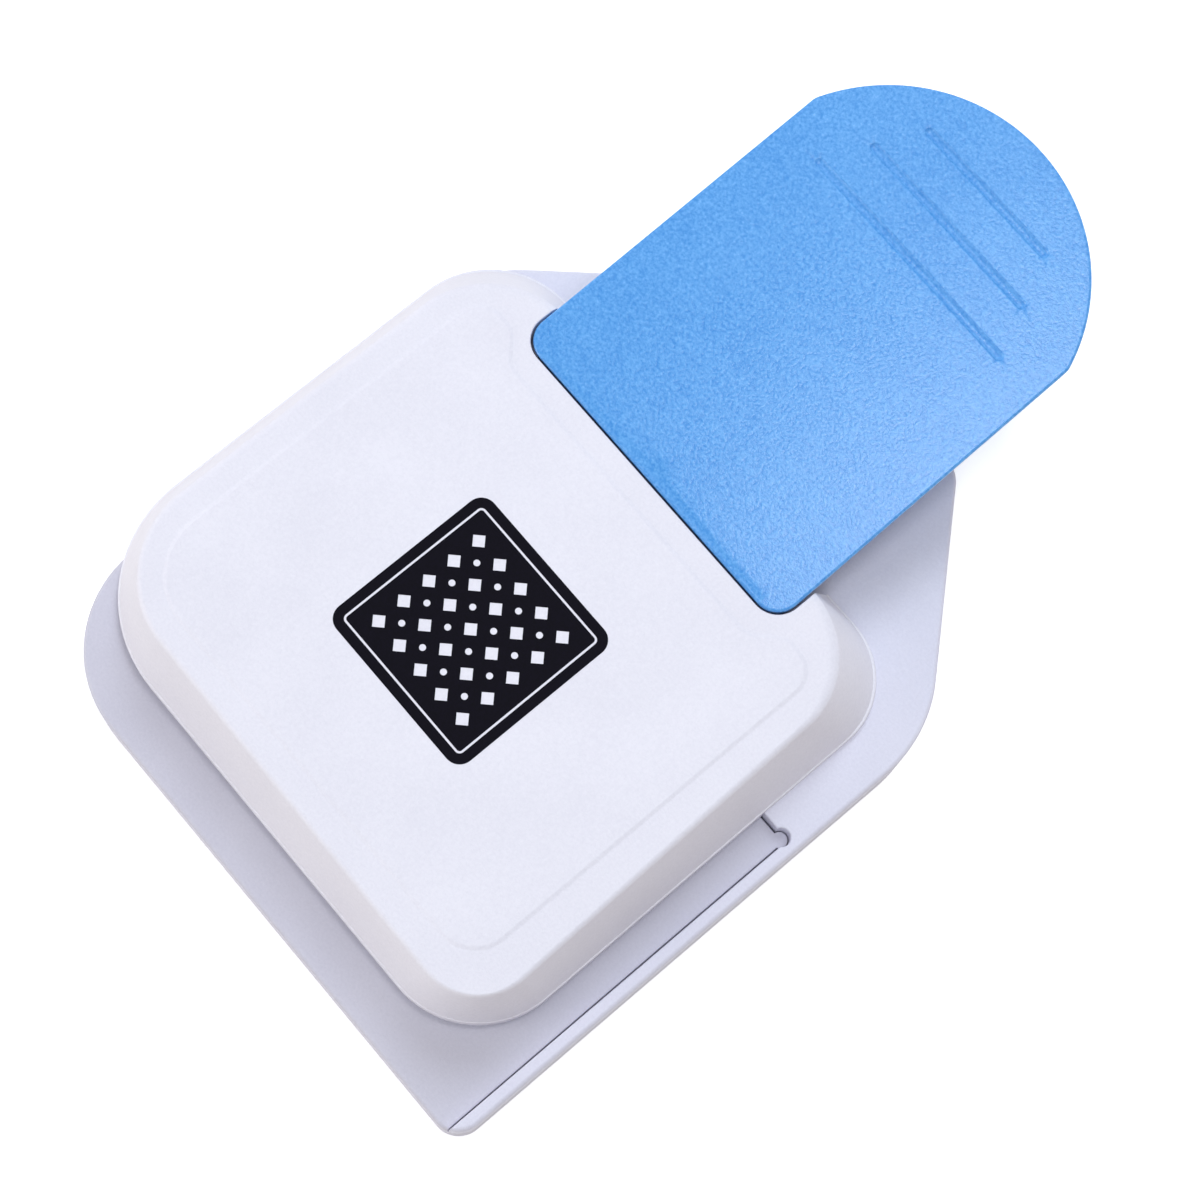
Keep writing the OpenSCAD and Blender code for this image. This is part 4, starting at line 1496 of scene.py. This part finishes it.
class SizeTree:
    """Geometry node tree with named sizes, run once on a set of points and turned to plain mesh."""

    def __init__(self, name: str, sizes: dict[str, float]) -> None:
        """Makes the tree and its named inputs.

        Args:
            name: Name of the tree.
            sizes: Names of the inputs and their values; whole numbers make whole-number inputs.
        """
        self.sizes = sizes
        self.tree = bpy.data.node_groups.new(name, "GeometryNodeTree")
        face = self.tree.interface
        face.new_socket("Geometry", in_out="INPUT", socket_type="NodeSocketGeometry")
        for key, value in sizes.items():
            kind = "NodeSocketInt" if isinstance(value, int) else "NodeSocketFloat"
            face.new_socket(key, in_out="INPUT", socket_type=kind)
        face.new_socket("Material", in_out="INPUT", socket_type="NodeSocketMaterial")
        face.new_socket("Geometry", in_out="OUTPUT", socket_type="NodeSocketGeometry")
        self.given = add(self.tree, "NodeGroupInput").outputs

    def add(self, kind: str, links: Optional[dict] = None, **settings: Any) -> Any:
        """Adds a node to the tree and returns its first output."""
        return add(self.tree, kind, links, **settings).outputs[0]

    def math(self, operation: str, a: Any, b: Any = 0.0) -> Any:
        """Adds a sum of two numbers and returns its output."""
        return self.add("ShaderNodeMath", {"Value": a, "Value_001": b}, operation=operation)

    def repeat(self, shape: Any) -> "SizeTree":
        """Repeats a shape on the given points and ends the tree with its material.

        Args:
            shape: Socket of the shape.

        Returns:
            The tree, ready to run.
        """
        given = self.given
        copies = self.add("GeometryNodeInstanceOnPoints", {"Points": given["Geometry"], "Instance": shape})
        plain = self.add("GeometryNodeRealizeInstances", {"Geometry": copies})
        dressed = self.add("GeometryNodeSetMaterial", {"Geometry": plain, "Material": given["Material"]})
        add(self.tree, "NodeGroupOutput", {"Geometry": dressed})
        return self

    def run(self, name: str, points: Sequence[Sequence[float]], material: Any) -> Any:
        """Runs the tree on points and returns the plain mesh as an object.

        Args:
            name: Name of the piece.
            points: Points that the tree starts from, in millimetres.
            material: Finish.

        Returns:
            The finished object, in millimetres.
        """
        mesh = bpy.data.meshes.new(name)
        mesh.from_pydata([tuple(p) for p in points], [], [])
        piece = bpy.data.objects.new(name, mesh)
        bpy.context.scene.collection.objects.link(piece)
        modifier = piece.modifiers.new("sizes", "NODES")
        values = dict(self.sizes, Material=material)
        modifier.node_group = self.tree
        for item in self.tree.interface.items_tree:
            if item.in_out == "INPUT" and item.name in values:
                modifier[item.identifier] = values[item.name]
        settle(piece)
        return piece


@dataclass
class CrossScrews:
    """Cross-recess screws of one size."""

    name: str
    node: str
    body: Body
    points: Sequence[Sequence[float]]
    length: float
    head_r: float = 2.7
    neck_r: float = 1.4
    head_h: float = 1.4
    shank_r: float = 1.4
    recess_w: float = 0.7
    recess_span: float = 3.1
    recess_d: float = 0.85
    matrix: Optional[Matrix] = None

    def tree(self) -> SizeTree:
        """Tree of one screw, repeated on the points.

        Returns:
            The tree, ready to run.
        """
        t = SizeTree("cross_screw", {
            "Head Radius": self.head_r, "Neck Radius": self.neck_r, "Head Height": self.head_h,
            "Shank Radius": self.shank_r, "Length": self.length, "Recess Width": self.recess_w,
            "Recess Span": self.recess_span, "Recess Depth": self.recess_d})
        head = t.add("GeometryNodeMeshCone", {
            "Vertices": 40, "Radius Bottom": t.given["Head Radius"],
            "Radius Top": t.given["Neck Radius"], "Depth": t.given["Head Height"]})
        shank = t.add("GeometryNodeMeshCone", {
            "Vertices": 24, "Radius Bottom": t.given["Shank Radius"],
            "Radius Top": t.given["Shank Radius"], "Depth": t.given["Length"]})
        screw = t.add("GeometryNodeMeshBoolean", {"Mesh 2": [head, shank]}, operation="UNION")
        deep = t.math("MULTIPLY", t.given["Recess Depth"], 2.0)
        size = t.add("ShaderNodeCombineXYZ", {
            "X": t.given["Recess Span"], "Y": t.given["Recess Width"], "Z": deep})
        wing = t.add("GeometryNodeMeshCube", {"Size": size})
        turned = t.add("GeometryNodeTransform", {"Geometry": wing, "Rotation": (0, 0, math.pi / 2)})
        cut = t.add("GeometryNodeMeshBoolean", {"Mesh 1": screw, "Mesh 2": [wing, turned]},
                    operation="DIFFERENCE")
        return t.repeat(cut)

    def dress(self, material: Any) -> None:
        """Builds the screws and puts them on their body.

        Args:
            material: Finish.
        """
        screws = self.tree().run(self.name, self.points, material)
        if self.matrix:
            screws.data.transform(self.matrix)
        join_frame(screws, material, self.body, Slot.ZINC, self.node)


@dataclass
class RubberFeet:
    """Moulded rubber feet with a rounded tread edge."""

    radius: float = 4.5
    edge: float = 0.35
    rear_x: tuple[float, float] = (-14.0, 18.9)

    def tree(self, height: float) -> SizeTree:
        """Tree of one foot, repeated on the points.

        Args:
            height: Height of a foot.

        Returns:
            The tree, ready to run.
        """
        t = SizeTree("rubber_foot", {"Radius": self.radius, "Height": height, "Edge": self.edge})
        disc = t.add("GeometryNodeMeshCylinder", {
            "Vertices": 56, "Side Segments": 10, "Fill Segments": 3, "Radius": t.given["Radius"],
            "Depth": t.given["Height"]})
        half = t.math("DIVIDE", t.given["Height"], 2.0)
        lift = t.add("ShaderNodeCombineXYZ", {"Z": half})
        stood = t.add("GeometryNodeTransform", {"Geometry": disc, "Translation": lift})
        place = t.add("GeometryNodeInputPosition")
        z = add(t.tree, "ShaderNodeSeparateXYZ", {"Vector": place}).outputs["Z"]
        narrow = t.math("SUBTRACT", 1.0, t.math("DIVIDE", t.given["Edge"], t.given["Radius"]))
        share = t.add("ShaderNodeMapRange", {
            "Value": z, "From Min": 0.0, "From Max": t.given["Edge"], "To Min": narrow, "To Max": 1.0},
            interpolation_type="SMOOTHSTEP")
        scale = t.add("ShaderNodeCombineXYZ", {"X": share, "Y": share, "Z": 1.0})
        shaped = t.add("ShaderNodeVectorMath", {"Vector": place, "Vector_001": scale}, operation="MULTIPLY")
        foot = t.add("GeometryNodeSetPosition", {"Geometry": stood, "Position": shaped})
        return t.repeat(foot)

    def dress(self) -> None:
        """Builds the feet and puts them under the housing."""
        box = NodeBox.of("rubber_feet")
        r = self.radius
        points = [(box.lo.x + r, box.lo.y + r, 0), (box.hi.x - r, box.lo.y + r, 0)]
        points += [(x, box.hi.y - r, 0) for x in self.rear_x]
        material = BLACK_RUBBER.material()
        feet = self.tree(box.hi.z).run("foot_set", points, material)
        join_frame(feet, material, Body.HOUSING, Slot.RUBBER, "rubber_feet")


@dataclass
class ReturnSprings:
    """Compression springs of drawn wire round the guide posts."""

    wire_d: float = 0.7
    turns: int = 5
    post_r: float = 2.0

    def tree(self, coil_r: float, height: float) -> SizeTree:
        """Tree of one spring, repeated on the points.

        Args:
            coil_r: Radius of the wire's middle line.
            height: Height of that line.

        Returns:
            The tree, ready to run.
        """
        t = SizeTree("return_spring", {
            "Coil Radius": coil_r, "Wire Radius": self.wire_d / 2, "Height": height, "Turns": self.turns})
        path = t.add("GeometryNodeCurveSpiral", {
            "Resolution": 28, "Rotations": t.given["Turns"], "Start Radius": t.given["Coil Radius"],
            "End Radius": t.given["Coil Radius"], "Height": t.given["Height"]})
        wire = t.add("GeometryNodeCurvePrimitiveCircle", {
            "Resolution": 10, "Radius": t.given["Wire Radius"]})
        coil = t.add("GeometryNodeCurveToMesh", {"Curve": path, "Profile Curve": wire, "Fill Caps": True})
        return t.repeat(coil)

    def dress(self) -> None:
        """Builds the springs and puts them on the housing."""
        box, posts = NodeBox.of("return_springs"), NodeBox.of("guide_posts")
        xs = (posts.lo.x + self.post_r, posts.hi.x - self.post_r)
        ys = (posts.lo.y + self.post_r, posts.hi.y - self.post_r)
        coil_r = xs[0] - box.lo.x - self.wire_d / 2
        seat = box.lo.z + self.wire_d / 2
        points = [(x, y, seat) for x in xs for y in ys]
        material = SPRING_STEEL.material()
        springs = self.tree(coil_r, box.hi.z - box.lo.z - self.wire_d).run("spring_set", points, material)
        join_frame(springs, material, Body.HOUSING, Slot.SPRING, "return_springs")
        slide = next(j for j in frame["joints"] if j["name"] == "punch_slide")
        travel = max(abs(v) for v in slide["range_m"]) / MM
        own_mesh(springs)


@dataclass
class PrintedTile:
    """Screen-printed square on the panel: a plain dark tile with a fine frame and a lattice of openings."""

    centre: Spot = (-2.8, -34.0)
    side: float = 31.5
    corner_r: float = 2.6
    line_in: float = 1.7
    line_w: float = 0.36
    pitch: float = 5.0
    per_side: int = 5
    diamond_r: float = 1.35
    dot_r: float = 0.55
    ink: float = 0.03

    def square(self, t: SizeTree, drawn_in: Any) -> Any:
        """Draws a round-cornered square inside the tile's edge.

        Args:
            t: Tree of the tile.
            drawn_in: Distance from the tile's edge.

        Returns:
            The square's outline.
        """
        side = t.math("SUBTRACT", t.given["Side"], t.math("MULTIPLY", drawn_in, 2.0))
        sharp = t.add("GeometryNodeCurvePrimitiveQuadrilateral", {"Width": side, "Height": side})
        r = t.math("SUBTRACT", t.given["Corner Radius"], drawn_in)
        return t.add("GeometryNodeFilletCurve", {"Curve": sharp, "Count": 10, "Radius": r}, mode="POLY")

    def lattice(self, t: SizeTree, count: Any, sides: int, radius: Any) -> Any:
        """Square lattice of equal openings.

        Args:
            t: Tree of the tile.
            count: Openings along one side.
            sides: Sides of one opening.
            radius: Distance from an opening's middle to its corners.

        Returns:
            The openings' outlines.
        """
        span = t.math("MULTIPLY", t.math("SUBTRACT", count, 1.0), t.given["Pitch"])
        grid = t.add("GeometryNodeMeshGrid", {
            "Size X": span, "Size Y": span, "Vertices X": count, "Vertices Y": count})
        opening = t.add("GeometryNodeCurvePrimitiveCircle", {"Resolution": sides, "Radius": radius})
        return t.add("GeometryNodeInstanceOnPoints", {"Points": grid, "Instance": opening})

    def tree(self) -> SizeTree:
        """Tree of the tile: its edge, frame line and openings, filled and given a thickness.

        Returns:
            The tree, ready to run.
        """
        t = SizeTree("printed_tile", {
            "Side": self.side, "Corner Radius": self.corner_r, "Line Inset": self.line_in,
            "Line Width": self.line_w, "Pitch": self.pitch, "Per Side": self.per_side,
            "Diamond Radius": self.diamond_r, "Dot Radius": self.dot_r, "Ink": self.ink})
        line_end = t.math("ADD", t.given["Line Inset"], t.given["Line Width"])
        between = t.math("SUBTRACT", t.given["Per Side"], 1.0)
        shapes = [self.square(t, 0.0), self.square(t, t.given["Line Inset"]), self.square(t, line_end),
                  self.lattice(t, t.given["Per Side"], 4, t.given["Diamond Radius"]),
                  self.lattice(t, between, 18, t.given["Dot Radius"])]
        joined = t.add("GeometryNodeJoinGeometry", {"Geometry": shapes})
        curves = t.add("GeometryNodeRealizeInstances", {"Geometry": joined})
        film = t.add("GeometryNodeFillCurve", {"Curve": curves})
        raised = t.add("GeometryNodeExtrudeMesh", {
            "Mesh": film, "Offset Scale": t.given["Ink"], "Individual": False})
        below = t.add("GeometryNodeFlipFaces", {"Mesh": film})
        both = t.add("GeometryNodeJoinGeometry", {"Geometry": [raised, below]})
        whole = t.add("GeometryNodeMergeByDistance", {"Geometry": both, "Distance": 0.001})
        return t.repeat(whole)

    def dress(self, cover: TopCover) -> None:
        """Prints the tile on the cover's panel.

        Args:
            cover: Cover that carries the tile.
        """
        material = BLACK_INK.material()
        point = (*self.centre, cover.top + cover.panel_h)
        tile = self.tree().run("printed_tile", [point], material)
        join_frame(tile, material, Body.HOUSING, Slot.RUBBER)


@dataclass
class PunchWorks:
    """Steel parts inside the case, which keep their CAD shapes and get their finishes."""

    finishes: tuple[tuple[Metal, tuple[str, ...]], ...] = (
        (SHEET_STEEL, ("spacer_plate", "upper_frame", "lever_yoke")),
        (GROUND_STEEL, (
            "die_plate", "punch_holder", "punch_blades", "guide_posts", "drive_pin", "pivot_pin")),
        (SPRING_STEEL, ("pivot_clips",)),
        (ZINC, ("frame_screws",)),
    )

    def dress(self) -> None:
        """Gives each carried CAD node its finish."""
        for finish, nodes in self.finishes:
            paint(finish.material(), nodes)


def paint(material: Any, nodes: Sequence[str]) -> None:
    """Assigns a material to CAD nodes that stay in view.

    Args:
        material: Finish.
        nodes: Names of the nodes.
    """
    for name in nodes:
        mesh = frame["nodes"][name].data
        mesh.materials.clear()
        mesh.materials.append(material)
        LOG.info("%s: %s", name, material.name)


@dataclass
class Studio:
    """Camera at the photograph's view, a pale floor and soft light."""

    azimuth: float = 38.61
    elevation: float = 75.02
    roll: float = 11.21
    distance: float = 422.93
    focal_px: float = 2661.0
    image_px: float = 1200.0
    sensor: float = 36.0
    target: tuple[float, float, float] = (4.44, -13.25, 14.97)
    floor_half: float = 4.0
    floor_glow: float = 0.5
    world_colour: str = "#FFF8F6"
    wall_light: float = 0.65
    ceiling_light: float = 0.28
    # Upward share of a direction at which the walls' light has given way to the ceiling's
    ceiling_from: float = 0.6

    def build(self) -> None:
        """Makes the camera, the floor, the lights and the world."""
        self.camera()
        self.floor()
        self.light("rear_softbox", (-0.3, 0.8, 0.86), size=0.7, power=2.4, colour="#E4F2FF", mirrored=False)
        self.light("key_softbox", (-0.37, 0.42, 0.84), size=0.4, power=3.4, colour="#E8F2FF", mirrored=False)
        self.light("front_softbox", (-0.6, -0.97, 0.28), size=0.5, power=4.2, colour="#FDFDFC")
        self.light("fill_softbox", (0.22, -0.36, 1.1), size=0.5, power=3.4, colour="#E8F2FF", mirrored=False)
        self.light("top_softbox", (0.045, 0.18, 1.2), size=0.2, power=2.0, colour="#FAFCFF")
        self.surround()
        bpy.context.scene.view_settings.view_transform = "Standard"

    def surround(self) -> None:
        """Surrounds the studio with pale walls, lit more at the foot than overhead."""
        world = bpy.data.worlds.new("studio")
        world.use_nodes = True
        bpy.context.scene.world = world
        tree = world.node_tree
        backdrop = tree.nodes["Background"]
        backdrop.inputs["Color"].default_value = linear(self.world_colour)
        way = add(tree, "ShaderNodeTexCoord").outputs["Generated"]
        height = add(tree, "ShaderNodeSeparateXYZ", {"Vector": way}).outputs["Z"]
        level = add(tree, "ShaderNodeMapRange", {
            "Value": height, "From Min": 0.0, "From Max": self.ceiling_from,
            "To Min": self.wall_light, "To Max": self.ceiling_light})
        tree.links.new(level.outputs[0], backdrop.inputs["Strength"])

    def camera(self) -> None:
        """Places the camera."""
        az, el, roll = (math.radians(a) for a in (self.azimuth, self.elevation, self.roll))
        back = Vector((math.sin(az) * math.cos(el), -math.cos(az) * math.cos(el), math.sin(el)))
        level = Vector((0, 0, 1)).cross(back).normalized()
        rise = back.cross(level)
        right = level * math.cos(roll) + rise * math.sin(roll)
        up = rise * math.cos(roll) - level * math.sin(roll)
        lens = bpy.data.cameras.new("photo_camera")
        lens.sensor_width = self.sensor
        lens.lens = self.focal_px / self.image_px * self.sensor
        lens.clip_start = 0.01
        camera = bpy.data.objects.new("photo_camera", lens)
        place = (Vector(self.target) + back * self.distance) * MM
        camera.matrix_world = Matrix.Translation(place) @ Matrix((right, up, back)).transposed().to_4x4()
        bpy.context.scene.collection.objects.link(camera)
        bpy.context.scene.camera = camera

    def floor(self) -> None:
        """Lays the floor under the feet."""
        half = self.floor_half
        mesh = bpy.data.meshes.new("studio_floor")
        corners = [(*p, 0) for p in rectangle(-half, -half, half, half)]
        mesh.from_pydata(corners, [], [(0, 1, 2, 3)])
        coat = FLOOR_PAINT.material()
        shader = next(n for n in coat.node_tree.nodes if n.type == "BSDF_PRINCIPLED")
        shader.inputs["Emission Color"].default_value = (1.0, 1.0, 1.0, 1.0)
        shader.inputs["Emission Strength"].default_value = self.floor_glow
        mesh.materials.append(coat)
        floor = bpy.data.objects.new("studio_floor", mesh)
        # The walls take their light from below from the surround, which keeps their tones apart
        floor.visible_diffuse = False
        bpy.context.scene.collection.objects.link(floor)

    def light(self, name: str, place: Sequence[float], size: float, power: float, colour: str,
              mirrored: bool = True) -> None:
        """Hangs a square soft light that faces the punch.

        Args:
            name: Name of the light.
            place: Place in metres.
            size: Side of the light in metres.
            power: Power in watts.
            colour: Colour of its light.
            mirrored: Whether glossy surfaces mirror it.
        """
        lamp = bpy.data.lights.new(name, "AREA")
        lamp.size = size
        lamp.energy = power
        lamp.color = linear(colour)[:3]
        holder = bpy.data.objects.new(name, lamp)
        holder.visible_glossy = mirrored
        facing = Vector(place).to_track_quat("Z", "Y").to_matrix().to_4x4()
        holder.matrix_world = Matrix.Translation(place) @ facing
        bpy.context.scene.collection.objects.link(holder)


def main() -> None:
    """Builds the punch, dresses it and sets the studio."""
    logging.basicConfig(level=logging.INFO, format="%(name)s %(message)s")
    Studio().build()
    places = Places.read()
    plan = BasePlan(places)
    PaperTray(plan).dress()
    BottomPlate(plan).dress()
    PaperGuide(plan).dress()
    cover = TopCover(places)
    cover.dress()
    lever = PalmLever(places)
    lever.dress()
    PrintedTile().dress(cover)
    zinc = ZINC.material()
    foot_z = places.base.lo.z
    for kind, spots in (("case", places.case_places), ("plate", places.plate_places)):
        box = NodeBox.of(f"{kind}_screws")
        CrossScrews(f"{kind}_screw_set", f"{kind}_screws", Body.HOUSING, [(x, y, foot_z) for x, y in spots],
                    box.hi.z - box.lo.z).dress(zinc)
    shank_r, shank_l = lever.cap_shank
    CrossScrews("handle_screw_set", "handle_screws", Body.LEVER,
                [(x, y, lever.web_low - lever.cap_h) for x, y in lever.screw_places], shank_l,
                head_r=lever.cap_r, neck_r=lever.cap_r, head_h=lever.cap_h, shank_r=shank_r,
                matrix=lever.matrix).dress(zinc)
    RubberFeet().dress()
    ReturnSprings().dress()
    PunchWorks().dress()


if __name__ == "__main__":
    main()
